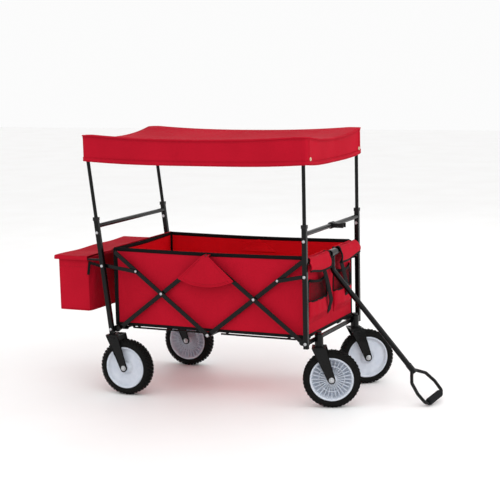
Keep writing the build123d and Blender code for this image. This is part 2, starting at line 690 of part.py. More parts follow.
rear_axles = []
for side, sign in (("near", -1), ("far", 1)):
    place = Pos(rear_wheel_x, sign * rear_wheel_y, WHEEL_RADIUS)
    add("rear_frame", "rear_fork_" + side, place * rear_fork)
    rear_axles.append(place * axle)
    add("rear_wheel_" + side, "rear_tyre_" + side, place * tyre)
    add("rear_wheel_" + side, "rear_disc_" + side, place * disc)
add("rear_frame", "rear_axles", rear_axles)

crown_z = STEM_HOUSING_LOW_Z - 1.0
caster_yaws = {"near": NEAR_CASTER_YAW, "far": FAR_CASTER_YAW}
caster_hubs = {}
housings = []
for side, sign in (("near", -1), ("far", 1)):
    yaw = caster_yaws[side]
    turn = math.radians(yaw)
    stem = (stem_x, sign * STEM_HALF_TRACK)
    hub = (stem[0] + CASTER_TRAIL * math.cos(turn), stem[1] + CASTER_TRAIL * math.sin(turn))
    caster_hubs[side] = (hub[0], hub[1], WHEEL_RADIUS)
    place = Pos(hub[0], hub[1], WHEEL_RADIUS) * Rot(0, 0, yaw)
    fork = make_fork(-CASTER_TRAIL, crown_z - WHEEL_RADIUS)
    stem_base = (-CASTER_TRAIL, 0, crown_z - WHEEL_RADIUS)
    stem_top = (-CASTER_TRAIL, 0, STEM_HOUSING_HIGH_Z + 5 - WHEEL_RADIUS)
    fork += rod(stem_base, stem_top, STEM_DIAMETER)
    nut_low = (-CASTER_TRAIL, 0, STEM_HOUSING_HIGH_Z + 1 - WHEEL_RADIUS)
    nut_high = (-CASTER_TRAIL, 0, STEM_HOUSING_HIGH_Z + 9 - WHEEL_RADIUS)
    fork += rod(nut_low, nut_high, STEM_DIAMETER + 8)
    add("caster_" + side, "caster_fork_" + side, place * fork)
    add("caster_" + side, "caster_axle_" + side, place * axle)
    add("front_wheel_" + side, "front_tyre_" + side, place * tyre)
    add("front_wheel_" + side, "front_disc_" + side, place * disc)
    housing = rod((stem[0], stem[1], STEM_HOUSING_LOW_Z), (stem[0], stem[1], STEM_HOUSING_HIGH_Z),
                  STEM_HOUSING_DIAMETER, STEM_DIAMETER + 2 * RUNNING_GAP)
    housing -= cross(half_span, LOW_Z, stem[1] - 30, stem[1] + 30, CROSS_DIAMETER)
    housings.append(housing)
add("front_frame", "caster_housings", housings)


# --------------------------------------------------------------- handle ----
bend_z = PIVOT_Z - HANDLE_STUB
roll = math.radians(LOOP_ROLL)
handle_tilt = 45.0
for _ in range(30):
    slope = math.sin(roll) * math.sin(math.radians(handle_tilt))
    grip_rest_z = GRIP_LENGTH / 2 * slope + GRIP_DIAMETER / 2 * math.sqrt(1 - slope ** 2) + FLOOR_GAP
    handle_tilt = math.degrees(math.acos((bend_z - grip_rest_z) / HANDLE_LENGTH))
HANDLE_LIMIT = 180.0 - handle_tilt
tilt = math.radians(handle_tilt)
along = Vector(math.sin(tilt), 0, -math.cos(tilt))
over = Vector(math.cos(tilt), 0, math.sin(tilt))
across = Vector(0, 1, 0) * math.cos(roll) + over * math.sin(roll)
bend = Vector(half_span, 0, bend_z)
grip_middle = bend + along * HANDLE_LENGTH
junction = bend + along * (HANDLE_LENGTH - LOOP_LENGTH)

pivot = Vector(half_span, 0, PIVOT_Z)
handle_path = FilletPolyline(pivot, bend, junction, radius=HANDLE_BEND)
handle = sweep(Plane(origin=pivot, z_dir=(0, 0, -1)) * Circle(HANDLE_DIAMETER / 2), path=handle_path)
handle += cross(half_span, PIVOT_Z, -COLLAR_WIDTH / 2, COLLAR_WIDTH / 2, COLLAR_DIAMETER)
handle -= cross(half_span, PIVOT_Z, -COLLAR_WIDTH, COLLAR_WIDTH, CROSS_DIAMETER + 2 * RUNNING_GAP)

loop_side = [(-6, 4.5), (30, LOOP_HALF_WIDTH - 10), (72, LOOP_HALF_WIDTH + 2),
             (LOOP_LENGTH, LOOP_HALF_WIDTH - 1)]
loop_corners = loop_side + [(u, -v) for u, v in reversed(loop_side)]
loop_points = [junction + along * u + across * v for u, v in loop_corners]
loop_path = FilletPolyline(*loop_points, radius=13)
loop_start = Plane(origin=loop_path @ 0, z_dir=loop_path % 0)
loop = sweep(loop_start * Circle(LOOP_ROD / 2), path=loop_path)
handle += loop
handle += rod(junction - along * 30, junction + along * 8, HANDLE_DIAMETER + 3)
grip_start = grip_middle - across * (GRIP_LENGTH / 2)
grip_end = grip_middle + across * (GRIP_LENGTH / 2)
grip = rod(grip_start, grip_end, GRIP_DIAMETER, LOOP_ROD + 2 * RUNNING_GAP)
grip = fillet(grip.edges().filter_by(GeomType.CIRCLE).group_by(Edge.length)[-1], 4)
add("pull_handle", "handle_tube", handle)
add("pull_handle", "handle_grip", grip)

# The upright handle's tube stands ahead of the crossbar, in the clip's jaw.
upright_x = half_span + HANDLE_STUB * math.sin(math.radians(HANDLE_LIMIT))
jaw_bore = HANDLE_DIAMETER + 2 * SOFT_GAP
jaw_half = jaw_bore / 2 + CLIP_WALL
clip_low = CROSSBAR_Z - CLIP_HEIGHT / 2
clip_high = CROSSBAR_Z + CLIP_HEIGHT / 2
clip = cross(half_span, CROSSBAR_Z, -jaw_half, jaw_half, CROSS_DIAMETER + 2 * CLIP_WALL)
clip += block(half_span, upright_x + 8, -jaw_half, jaw_half, clip_low + 2, clip_high - 2)
clip -= cross(half_span, CROSSBAR_Z, -jaw_half - 1, jaw_half + 1, CROSS_DIAMETER + 2 * RUNNING_GAP)
clip -= rod((upright_x, 0, clip_low - 5), (upright_x, 0, clip_high + 5), jaw_bore)
clip -= block(upright_x, upright_x + 20, -jaw_bore / 2, jaw_bore / 2, clip_low - 5, clip_high + 5)
add("front_frame", "handle_clip", clip)


# --------------------------------------------------------------- export ----
everything = Compound([solid for solids in parts.values() for solid in solids])
box = everything.bounding_box()
SHIFT = (-(box.min.X + box.max.X) / 2, -(box.min.Y + box.max.Y) / 2, -box.min.Z)
os.makedirs("parts", exist_ok=True)
for name, solids in parts.items():
    moved = [Pos(*SHIFT) * solid for solid in solids]
    shape = moved[0] if len(moved) == 1 else Compound(moved)
    export_step(shape, os.path.join("parts", name + ".step"))
print("nodes", len(parts), "box", box.size, "shift", SHIFT)
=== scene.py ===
"""Dresses the children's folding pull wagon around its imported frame."""

import json
import logging
import math
from collections.abc import Callable, Sequence
from dataclasses import dataclass, field
from enum import Enum
from typing import ClassVar

import bmesh
import bpy
from mathutils import Matrix, Vector

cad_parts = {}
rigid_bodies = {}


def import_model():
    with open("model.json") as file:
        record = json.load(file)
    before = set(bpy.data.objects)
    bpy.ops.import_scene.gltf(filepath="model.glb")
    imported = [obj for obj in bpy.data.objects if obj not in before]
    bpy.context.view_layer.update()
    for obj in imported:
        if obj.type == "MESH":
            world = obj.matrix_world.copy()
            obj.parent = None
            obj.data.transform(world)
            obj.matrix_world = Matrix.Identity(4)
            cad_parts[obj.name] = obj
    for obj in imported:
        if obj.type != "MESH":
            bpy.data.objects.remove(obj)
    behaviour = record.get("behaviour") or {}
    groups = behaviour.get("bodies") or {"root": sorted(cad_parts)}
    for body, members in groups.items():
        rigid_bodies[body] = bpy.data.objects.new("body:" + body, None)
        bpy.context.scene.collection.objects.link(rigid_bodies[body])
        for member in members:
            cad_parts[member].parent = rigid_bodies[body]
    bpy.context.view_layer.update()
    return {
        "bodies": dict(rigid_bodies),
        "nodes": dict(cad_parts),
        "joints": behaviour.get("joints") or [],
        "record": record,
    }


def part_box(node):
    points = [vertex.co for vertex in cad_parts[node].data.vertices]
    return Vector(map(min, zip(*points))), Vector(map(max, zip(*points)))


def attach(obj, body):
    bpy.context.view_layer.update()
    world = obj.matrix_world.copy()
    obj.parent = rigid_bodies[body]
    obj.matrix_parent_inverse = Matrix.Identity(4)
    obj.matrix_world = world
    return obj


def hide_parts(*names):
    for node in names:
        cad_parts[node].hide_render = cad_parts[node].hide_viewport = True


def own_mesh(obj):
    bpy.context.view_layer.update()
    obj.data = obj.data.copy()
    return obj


LOG = logging.getLogger("wagon")
MM = 0.001
RIVET_RADIUS = 0.0055
SIDES = (("near", -1), ("far", 1))
ALONG, SIDEWAYS, UP = Vector((1, 0, 0)), Vector((0, 1, 0)), Vector((0, 0, 1))
Point = tuple[float, float, float]


# ------------------------------------------------------------ node helper ----
def srgb(code: str, alpha: float = 1.0) -> tuple[float, float, float, float]:
    """Turn an sRGB hex colour to linear.

    Args:
        code: six hex digits.
        alpha: opacity kept as it is.

    Returns:
        Linear red, green, blue and alpha.
    """
    parts = [int(code[i:i + 2], 16) / 255 for i in (0, 2, 4)]
    linear = [c / 12.92 if c <= 0.04045 else ((c + 0.055) / 1.055) ** 2.4 for c in parts]
    return (*linear, alpha)


def add_node(tree: bpy.types.NodeTree, kind: str, settings: dict | None = None,
             links: dict | None = None) -> bpy.types.Node:
    """Add a node, set its properties and sockets, and link its inputs.

    Args:
        tree: the tree that gets the node.
        kind: the node's bl_idname.
        settings: property names, or input names or numbers, to values.
        links: input names or numbers to output sockets.

    Returns:
        The new node.
    """
    node = tree.nodes.new(kind)
    for key, value in (settings or {}).items():
        if isinstance(key, str) and hasattr(node, key):
            setattr(node, key, value)
        else:
            node.inputs[key].default_value = value
    for key, source in (links or {}).items():
        tree.links.new(source, node.inputs[key])
    return node


# --------------------------------------------------------------- finishes ----
@dataclass(frozen=True)
class Finish:
    """One material, made once and shared by the pieces that wear it."""

    name: str
    slot: str
    colour: str
    dark: str
    roughness: float
    metallic: float = 0.0

    def detail(self, tree: bpy.types.NodeTree) -> tuple:
        """Build the pattern.

        Args:
            tree: the material's node tree.

        Returns:
            Factor between the two colours, height, bump distance in metres, shader settings.
        """
        raise NotImplementedError

    def material(self) -> bpy.types.Material:
        """Make the material, or give the one that exists.

        Returns:
            The finished material.
        """
        known = bpy.data.materials.get(self.name)
        if known:
            return known
        made = bpy.data.materials.new(self.name)
        made.use_nodes = True
        tree = made.node_tree
        tree.nodes.clear()
        factor, height, depth, shader = self.detail(tree)
        mix = add_node(tree, "ShaderNodeMix", {"data_type": "RGBA", 6: srgb(self.dark),
                                               7: srgb(self.colour)}, {0: factor})
        rough = add_node(tree, "ShaderNodeMapRange",
                         {"To Min": min(1.0, self.roughness + 0.09),
                          "To Max": self.roughness - 0.05},
                         {"Value": factor})
        bump = add_node(tree, "ShaderNodeBump", {"Strength": 1.0, "Distance": depth},
                        {"Height": height})
        surface = add_node(tree, "ShaderNodeBsdfPrincipled", {"Metallic": self.metallic, **shader},
                           {"Base Color": mix.outputs[2], "Roughness": rough.outputs[0],
                            "Normal": bump.outputs[0]})
        add_node(tree, "ShaderNodeOutputMaterial", {}, {"Surface": surface.outputs[0]})
        return made


def grain(tree: bpy.types.NodeTree, size_mm: float, detail: float = 3.0) -> bpy.types.NodeSocket:
    """Noise on Object coordinates with grains of a real size.

    Args:
        tree: the material's node tree.
        size_mm: width of a grain in millimetres.
        detail: how many finer layers it has.

    Returns:
        The noise's value.
    """
    place = add_node(tree, "ShaderNodeTexCoord")
    noise = add_node(tree, "ShaderNodeTexNoise", {"Scale": 1 / (size_mm * MM), "Detail": detail},
                     {"Vector": place.outputs["Object"]})
    return noise.outputs[0]


def blended(tree: bpy.types.NodeTree, operation: str, first: bpy.types.NodeSocket,
            second: bpy.types.NodeSocket | float, third: float = 0.0) -> bpy.types.NodeSocket:
    """Combine two values with one Math node.

    Args:
        tree: the node tree.
        operation: the Math node's operation.
        first: a value.
        second: a value or a number.
        third: the third number, where the operation has one.

    Returns:
        The result.
    """
    node = add_node(tree, "ShaderNodeMath", {"operation": operation, 2: third}, {0: first})
    if isinstance(second, (int, float)):
        node.inputs[1].default_value = second
    else:
        tree.links.new(second, node.inputs[1])
    return node.outputs[0]


@dataclass(frozen=True)
class PowderCoat(Finish):
    """Baked black powder coat on steel: low gloss with fine orange peel."""

    peel_mm: float = 1.6

    def detail(self, tree: bpy.types.NodeTree) -> tuple:
        """See Finish.detail; the peel is drawn a little coarser than real so that it shows.

        Args:
            tree: the material's node tree.

        Returns:
            Factor, height, bump distance in metres, and shader settings.
        """
        peel = grain(tree, self.peel_mm, 2.0)
        patches = grain(tree, 60.0, 4.0)
        return patches, peel, 0.00005, {"Coat Weight": 0.08, "Coat Roughness": 0.06,
                                         "Specular IOR Level": 0.16, "IOR": 1.5}


@dataclass(frozen=True)
class ZincPlate(Finish):
    """Bright zinc on rivets and axle bolts: pale metal with a faint blotchy passivation."""

    def detail(self, tree: bpy.types.NodeTree) -> tuple:
        """See Finish.detail."""
        return grain(tree, 4.0, 4.0), grain(tree, 0.9, 2.0), 0.00005, {}


@dataclass(frozen=True)
class WovenCloth(Finish):
    """Oxford polyester, plain woven: matt, with a thread texture and soft creases."""

    thread_mm: float = 1.5
    crease_mm: float = 0.35

    def detail(self, tree: bpy.types.NodeTree) -> tuple:
        """See Finish.detail; threads of 0.5 mm are drawn at 1.5 mm, because finer would not show.

        Args:
            tree: the material's node tree.

        Returns:
            Factor, height, bump distance in metres, and shader settings.
        """
        place = add_node(tree, "ShaderNodeUVMap", {"uv_map": "cloth"})
        turns = 2 * math.pi / (2 * self.thread_mm * MM)
        split = add_node(tree, "ShaderNodeSeparateXYZ", {}, {0: place.outputs[0]})
        warp = blended(tree, "SINE", blended(tree, "MULTIPLY", split.outputs[0], turns), 0.0)
        weft = blended(tree, "SINE", blended(tree, "MULTIPLY", split.outputs[1], turns), 0.0)
        weave = blended(tree, "MULTIPLY", warp, weft)
        weave = blended(tree, "MULTIPLY_ADD", weave, 0.5, 0.5)
        slub = grain(tree, 3.0, 3.0)
        soft = grain(tree, 150.0, 3.0)
        folds = add_node(tree, "ShaderNodeTexNoise",
                         {"Scale": 9.0, "Detail": 2.0, "Distortion": 1.4},
                         {"Vector": add_node(tree, "ShaderNodeTexCoord").outputs["Object"]})
        tone = blended(tree, "MULTIPLY_ADD", weave, 0.22, 0.1)
        tone = blended(tree, "ADD", tone, blended(tree, "MULTIPLY", slub, 0.22))
        tone = blended(tree, "ADD", tone, blended(tree, "MULTIPLY", soft, 0.75))
        low = blended(tree, "MULTIPLY", weave, 0.06)
        low = blended(tree, "ADD", low, blended(tree, "MULTIPLY", slub, 0.05))
        creases = blended(tree, "MULTIPLY", folds.outputs[0], self.crease_mm * 6)
        low = blended(tree, "ADD", low, creases)
        return tone, low, 0.002, {"Specular IOR Level": 0.04}


@dataclass(frozen=True)
class RibbedTape(Finish):
    """Grosgrain binding and webbing: black polyester with ribs across the tape."""

    rib_mm: float = 1.6

    def detail(self, tree: bpy.types.NodeTree) -> tuple:
        """See Finish.detail.

        Args:
            tree: the material's node tree.

        Returns:
            Factor, height, bump distance in metres, and shader settings.
        """
        place = add_node(tree, "ShaderNodeTexCoord")
        wave = add_node(tree, "ShaderNodeTexWave",
                        {"Scale": 1 / (self.rib_mm * MM * 3.2), "Distortion": 0.4,
                         "bands_direction": "DIAGONAL"}, {"Vector": place.outputs["Object"]})
        return wave.outputs[1], wave.outputs[1], 0.00025, {"Specular IOR Level": 0.16}


@dataclass(frozen=True)
class MouldedPlastic(Finish):
    """Injection-moulded black nylon: satin with a fine spark-eroded texture."""

    spark_mm: float = 1.1

    def detail(self, tree: bpy.types.NodeTree) -> tuple:
        """See Finish.detail."""
        return (grain(tree, 25.0, 3.0), grain(tree, self.spark_mm, 3.0), 0.00008,
                {"IOR": 1.53, "Specular IOR Level": 0.25})


@dataclass(frozen=True)
class MilkyPolypropylene(Finish):
    """Natural polypropylene: cloudy white, light goes into it, with faint flow marks."""

    def detail(self, tree: bpy.types.NodeTree) -> tuple:
        """See Finish.detail."""
        return (grain(tree, 22.0, 4.0), grain(tree, 6.0, 3.0), 0.0001,
                {"IOR": 1.49, "Subsurface Weight": 0.45, "Subsurface Radius": (1.0, 1.0, 1.0),
                 "Subsurface Scale": 0.006, "Coat Weight": 0.15, "Coat Roughness": 0.2})


@dataclass(frozen=True)
class FoamRubber(Finish):
    """Closed-cell EVA foam: matt black, finely pitted, greyer where it scuffs."""

    cell_mm: float = 1.4
    depth: float = 0.0005

    def detail(self, tree: bpy.types.NodeTree) -> tuple:
        """See Finish.detail.

        Args:
            tree: the material's node tree.

        Returns:
            Factor, height, bump distance in metres, and shader settings.
        """
        place = add_node(tree, "ShaderNodeTexCoord")
        cells = add_node(tree, "ShaderNodeTexVoronoi", {"Scale": 1 / (self.cell_mm * MM)},
                         {"Vector": place.outputs["Object"]})
        return grain(tree, 14.0, 5.0), cells.outputs[0], self.depth, {"Specular IOR Level": 0.16}


@dataclass(frozen=True)
class StudioPaper(Finish):
    """Pale studio floor: smooth, faintly mottled paper."""

    def detail(self, tree: bpy.types.NodeTree) -> tuple:
        """See Finish.detail."""
        return grain(tree, 400.0, 2.0), grain(tree, 2.0, 2.0), 0.00002, {"Specular IOR Level": 0.25}


class Wear(Enum):
    """The finishes of this wagon."""

    STEEL = PowderCoat("black powder coat", "powder_coated_steel", "060607", "030303", 0.24)
    ZINC = ZincPlate("bright zinc plate", "zinc_hardware", "D6D8DA", "9B9EA2", 0.3, 1.0)
    BRASS = ZincPlate("pale brass eyelet", "zinc_hardware", "E4DDC4", "B4A67A", 0.3, 1.0)
    RED = WovenCloth("red oxford polyester", "red_oxford_fabric", "B8142A", "960E1E", 0.74)
    # Partly painted light: the lining is a coated cloth, and its colour is also set brighter to
    # stand in for light on the shaded inside of the tub.
    LINING_WITH_PAINTED_LIGHT = WovenCloth("coated red lining with painted light", "red_oxford_fabric", "E81422", "C80C18", 0.6)
    TAPE = RibbedTape("black binding tape", "red_oxford_fabric", "0C0C0D", "050506", 0.8)
    NET = RibbedTape("black polyester net", "red_oxford_fabric", "0E0D0E", "060506", 0.75)
    THREAD = RibbedTape("dark red thread", "red_oxford_fabric", "8E1220", "6A0C17", 0.7, rib_mm=0.8)
    PLASTIC = MouldedPlastic("black moulded nylon", "black_plastic", "0C0C0D", "070708", 0.42)
    WHEEL = MilkyPolypropylene("milky polypropylene", "wheel_plastic", "DDE2EA", "B9C1CE", 0.33)
    TYRE = FoamRubber("black tyre foam", "foam_tyre", "121110", "0A0A09", 0.86)
    GRIP = FoamRubber("dark grip foam", "grip_foam", "1E1F21", "131416", 0.9, cell_mm=1.0,
                      depth=0.0003)


# ------------------------------------------------------------ mesh helpers ----
def placed(name: str, data: bpy.types.ID) -> bpy.types.Object:
    """Make an object of some data at the origin and link it to the scene.

    Args:
        name: the object's name.
        data: its mesh, light or camera.

    Returns:
        The object.
    """
    obj = bpy.data.objects.new(name, data)
    bpy.context.scene.collection.objects.link(obj)
    return obj


def middle_x(node: str) -> float:
    """X of the middle of a CAD node's box."""
    low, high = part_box(node)
    return (low.x + high.x) / 2


def dress(obj: bpy.types.Object, *wears: Wear) -> None:
    """Add finishes to an object, one material slot for each.

    Args:
        obj: the mesh object.
        wears: the finishes in order.
    """
    for wear in wears:
        obj.data.materials.append(wear.value.material())


def line_inside(obj: bpy.types.Object, inside: Callable[[Vector], bool]) -> None:
    """Give a wall red cloth, and the coated lining on the faces that look into the tub; the
    lining's extra brightness there is painted light.

    Args:
        obj: the wall with its thickness.
        inside: says from a face's normal whether it looks into the tub.
    """
    dress(obj, Wear.RED, Wear.LINING_WITH_PAINTED_LIGHT)
    for face in obj.data.polygons:
        face.material_index = 1 if inside(face.normal) else 0


def cloth_by_place(obj: bpy.types.Object) -> None:
    """Lay cloth coordinates over a small piece from its own place.

    Args:
        obj: the mesh object.
    """
    layer = obj.data.uv_layers.new(name="cloth")
    for loop in obj.data.loops:
        place = obj.data.vertices[loop.vertex_index].co
        layer.data[loop.index].uv = (place.x + place.y, place.z)


def weld(obj: bpy.types.Object) -> None:
    """Close a sheet's seams and poles, and turn its faces one way.

    Args:
        obj: the mesh object.
    """
    work = bmesh.new()
    work.from_mesh(obj.data)
    bmesh.ops.remove_doubles(work, verts=work.verts, dist=0.0002)
    bmesh.ops.dissolve_degenerate(work, edges=work.edges, dist=0.0001)
    bmesh.ops.recalc_face_normals(work, faces=work.faces)
    work.to_mesh(obj.data)
    work.free()


def ring_faces(rows: int, around: int) -> list[tuple[int, int, int, int]]:
    """Faces between closed rings of points that follow one another.

    Args:
        rows: how many bands of faces.
        around: points in a ring.

    Returns:
        Point numbers of each face.
    """
    faces = []
    for k in range(rows):
        for i in range(around):
            j, low = (i + 1) % around, k * around
            faces.append((low + i, low + j, low + around + j, low + around + i))
    return faces


def finish_piece(obj: bpy.types.Object, wear: Wear, body: str, smooth: bool = True,
                 normals: bool = True) -> bpy.types.Object:
    """Dress a finished mesh and seat it on its body.

    Args:
        obj: the mesh object.
        wear: its finish, set only where it has no material yet.
        body: the CAD body it rides on.
        smooth: whether its faces are shaded smooth.
        normals: whether its normals are turned outwards.

    Returns:
        The same object.
    """
    mesh = obj.data
    if normals:
        work = bmesh.new()
        work.from_mesh(mesh)
        bmesh.ops.recalc_face_normals(work, faces=work.faces)
        work.to_mesh(mesh)
        work.free()
    mesh.polygons.foreach_set("use_smooth", [smooth] * len(mesh.polygons))
    if not mesh.materials:
        mesh.materials.append(wear.value.material())
    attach(obj, body)
    LOG.info("%s rides on %s, %d faces", obj.name, body, len(mesh.polygons))
    return obj


def new_object(name: str, points: Sequence, faces: Sequence, uvs: Sequence | None = None
               ) -> bpy.types.Object:
    """Make a mesh object at the origin.

    Args:
        name: the piece's name.
        points: vertices in metres.
        faces: vertex numbers of each face.
        uvs: a cloth coordinate in metres for each vertex.

    Returns:
        The object, linked to the scene.
    """
    mesh = bpy.data.meshes.new(name)
    mesh.from_pydata([tuple(p) for p in points], [], faces)
    if uvs:
        layer = mesh.uv_layers.new(name="cloth")
        for loop in mesh.loops:
            layer.data[loop.index].uv = uvs[loop.vertex_index]
    return placed(name, mesh)


def baked(obj: bpy.types.Object) -> bpy.types.Object:
    """Turn an object and its modifiers into a plain mesh.

    Args:
        obj: an object with live modifiers, or a curve.

    Returns:
        A mesh object with the same name.
    """
    graph = bpy.context.evaluated_depsgraph_get()
    mesh = bpy.data.meshes.new_from_object(obj.evaluated_get(graph), preserve_all_data_layers=True,
                                           depsgraph=graph)
    name = obj.name
    bpy.data.objects.remove(obj)
    result = placed(name, mesh)
    result.name = name
    return result


def thicken(obj: bpy.types.Object, thickness: float, offset: float = 0.0, levels: int = 0
            ) -> bpy.types.Object:
    """Give a sheet its wall, and round it.

    Args:
        obj: the sheet.
        thickness: the wall in metres.
        offset: -1 to 1, which side the wall grows to.
        levels: subdivision levels.

    Returns:
        A plain mesh object.
    """
    wall = obj.modifiers.new("wall", "SOLIDIFY")
    wall.thickness = thickness
    wall.offset = offset
    wall.use_even_offset = False
    if levels:
        soft = obj.modifiers.new("soft", "SUBSURF")
        soft.levels = soft.render_levels = levels
    return baked(obj)


def sheet_grid(name: str, columns: int, rows: int, place: Callable[[float, float], Point],
               flat: tuple[float, float], keep: Callable[[float, float], bool] | None = None
               ) -> bpy.types.Object:
    """Lay out one sheet of cloth over a rule.

    Args:
        name: the piece's name.
        columns: steps along the first direction.
        rows: steps along the second direction.
        place: gives the point for two numbers from 0 to 1.
        flat: the cloth's cut size in metres, for its threads.
        keep: says whether the cell at two numbers from 0 to 1 is there.

    Returns:
        The sheet.
    """
    points, uvs, faces = [], [], []
    for j in range(rows + 1):
        for i in range(columns + 1):
            u, v = i / columns, j / rows
            points.append(place(u, v))
            uvs.append((u * flat[0], v * flat[1]))
    for j in range(rows):
        for i in range(columns):
            if keep and not keep((i + 0.5) / columns, (j + 0.5) / rows):
                continue
            a = j * (columns + 1) + i
            faces.append((a, a + 1, a + columns + 2, a + columns + 1))
    obj = new_object(name, points, faces, uvs)
    if keep:
        work = bmesh.new()
        work.from_mesh(obj.data)
        loose = [v for v in work.verts if not v.link_faces]
        bmesh.ops.delete(work, geom=loose, context="VERTS")
        work.to_mesh(obj.data)
        work.free()
    return obj


def tape(name: str, path: Sequence[Point], side: Vector, width: float,
         thickness: float) -> bpy.types.Object:
    """A flat band with rounded edges along a path.

    Args:
        name: the piece's name.
        path: points along the middle of the band.
        side: the direction across the band.
        width: across the band.
        thickness: through the band.

    Returns:
        The band as a closed mesh.
    """
    profile = [(-0.5, -0.2), (-0.42, -0.5), (0.42, -0.5), (0.5, -0.2),
               (0.5, 0.2), (0.42, 0.5), (-0.42, 0.5), (-0.5, 0.2)]
    points, faces, count = [], [], len(profile)
    line = [Vector(p) for p in path]
    for i, here in enumerate(line):
        run = (line[min(i + 1, len(line) - 1)] - line[max(i - 1, 0)]).normalized()
        across = (side - run * side.dot(run)).normalized()
        up = run.cross(across)
        points += [here + across * a * width + up * b * thickness for a, b in profile]
        if i:
            low = (i - 1) * count
            faces += [(low + k, low + (k + 1) % count, low + count + (k + 1) % count,
                       low + count + k) for k in range(count)]
    faces.append(tuple(range(count))[::-1])
    faces.append(tuple(range(len(points) - count, len(points))))
    return new_object(name, points, faces)


def joined(name: str, pieces: Sequence[bpy.types.Object]) -> bpy.types.Object:
    """Join meshes that move together into one piece.

    Args:
        name: the new piece's name.
        pieces: mesh objects without modifiers.

    Returns:
        One mesh object.
    """
    work = bmesh.new()
    materials = []
    for piece in pieces:
        for one in piece.data.materials:
            if one not in materials:
                materials.append(one)
    mesh = bpy.data.meshes.new(name)
    for one in materials:
        mesh.materials.append(one)
    for piece in pieces:
        start = len(work.faces)
        work.from_mesh(piece.data)
        work.faces.ensure_lookup_table()
        order = [materials.index(m) for m in piece.data.materials] or [0]
        for face in work.faces[start:]:
            face.material_index = order[min(face.material_index, len(order) - 1)]
        bpy.data.objects.remove(piece)
    work.to_mesh(mesh)
    work.free()
    return placed(name, mesh)


def smoothstep(value: float) -> float:
    """Ease a number from 0 to 1."""
    value = min(1.0, max(0.0, value))
    return value * value * (3 - 2 * value)


# --------------------------------------------------------- repeated shapes ----
@dataclass
class Pattern:
    """A Geometry Nodes tree that repeats a shape, with named inputs for its sizes."""

    name: str
    sizes: dict[str, float] = field(default_factory=dict)
    wear: Wear = Wear.STEEL

    def __post_init__(self) -> None:
        """Start the tree with its geometry input and one number for each size."""
        self.tree = bpy.data.node_groups.new(self.name, "GeometryNodeTree")
        face = self.tree.interface
        face.new_socket("Geometry", in_out="INPUT", socket_type="NodeSocketGeometry")
        self.sockets = {}
        for label in self.sizes:
            kind = "NodeSocketInt" if isinstance(self.sizes[label], int) else "NodeSocketFloat"
            socket = face.new_socket(label, in_out="INPUT", socket_type=kind)
            self.sockets[label] = socket.identifier
        face.new_socket("Geometry", in_out="OUTPUT", socket_type="NodeSocketGeometry")
        self.given = self.tree.nodes.new("NodeGroupInput").outputs

    def add(self, kind: str, settings: dict | None = None, links: dict | None = None
            ) -> bpy.types.Node:
        """Add one node to the tree; see add_node."""
        return add_node(self.tree, kind, settings, links)

    def run(self, source: bpy.types.Object, result: bpy.types.NodeSocket) -> bpy.types.Object:
        """End the tree, run it on an object and keep the plain mesh.

        Args:
            source: the object whose points or edges the tree reads.
            result: the geometry to keep.

        Returns:
            The repeated shapes as one mesh object.
        """
        real = self.add("GeometryNodeRealizeInstances", {}, {0: result})
        dress = self.add("GeometryNodeSetMaterial", {}, {"Geometry": real.outputs[0]})
        dress.inputs["Material"].default_value = self.wear.value.material()
        self.add("NodeGroupOutput", {}, {0: dress.outputs[0]})
        repeat = source.modifiers.new(self.name, "NODES")
        repeat.node_group = self.tree
        for label, value in self.sizes.items():
            repeat[self.sockets[label]] = value
        source.update_tag()
        bpy.context.view_layer.update()
        return baked(source)


def dots(name: str, points: Sequence, edges: Sequence = ()) -> bpy.types.Object:
    """Make a mesh of bare points or edges for a pattern to follow.

    Args:
        name: the object's name.
        points: places in metres.
        edges: pairs of point numbers.

    Returns:
        The object.
    """
    mesh = bpy.data.meshes.new(name)
    mesh.from_pydata([tuple(p) for p in points], list(edges), [])
    return placed(name, mesh)


def rivet_domes(name: str, points: Sequence, radius: float, height: float, wear: Wear = Wear.ZINC
                ) -> bpy.types.Object:
    """Round rivet heads on points, domed along Y.

    Args:
        name: the piece's name.
        points: middles of the heads' bases.
        radius: of a head.
        height: of a dome above its base.
        wear: the heads' finish.

    Returns:
        The heads as one mesh.
    """
    pattern = Pattern(name + " tree", {"Radius": radius, "Height": height}, wear)
    ball = pattern.add("GeometryNodeMeshIcoSphere", {"Subdivisions": 2, "Radius": 1.0})
    size = pattern.add("ShaderNodeCombineXYZ", {}, {0: pattern.given["Radius"],
                                                    1: pattern.given["Height"],
                                                    2: pattern.given["Radius"]})
    heads = pattern.add("GeometryNodeInstanceOnPoints", {},
                        {"Points": pattern.given["Geometry"], "Instance": ball.outputs["Mesh"],
                         "Scale": size.outputs[0]})
    return pattern.run(dots(name, points), heads.outputs[0])


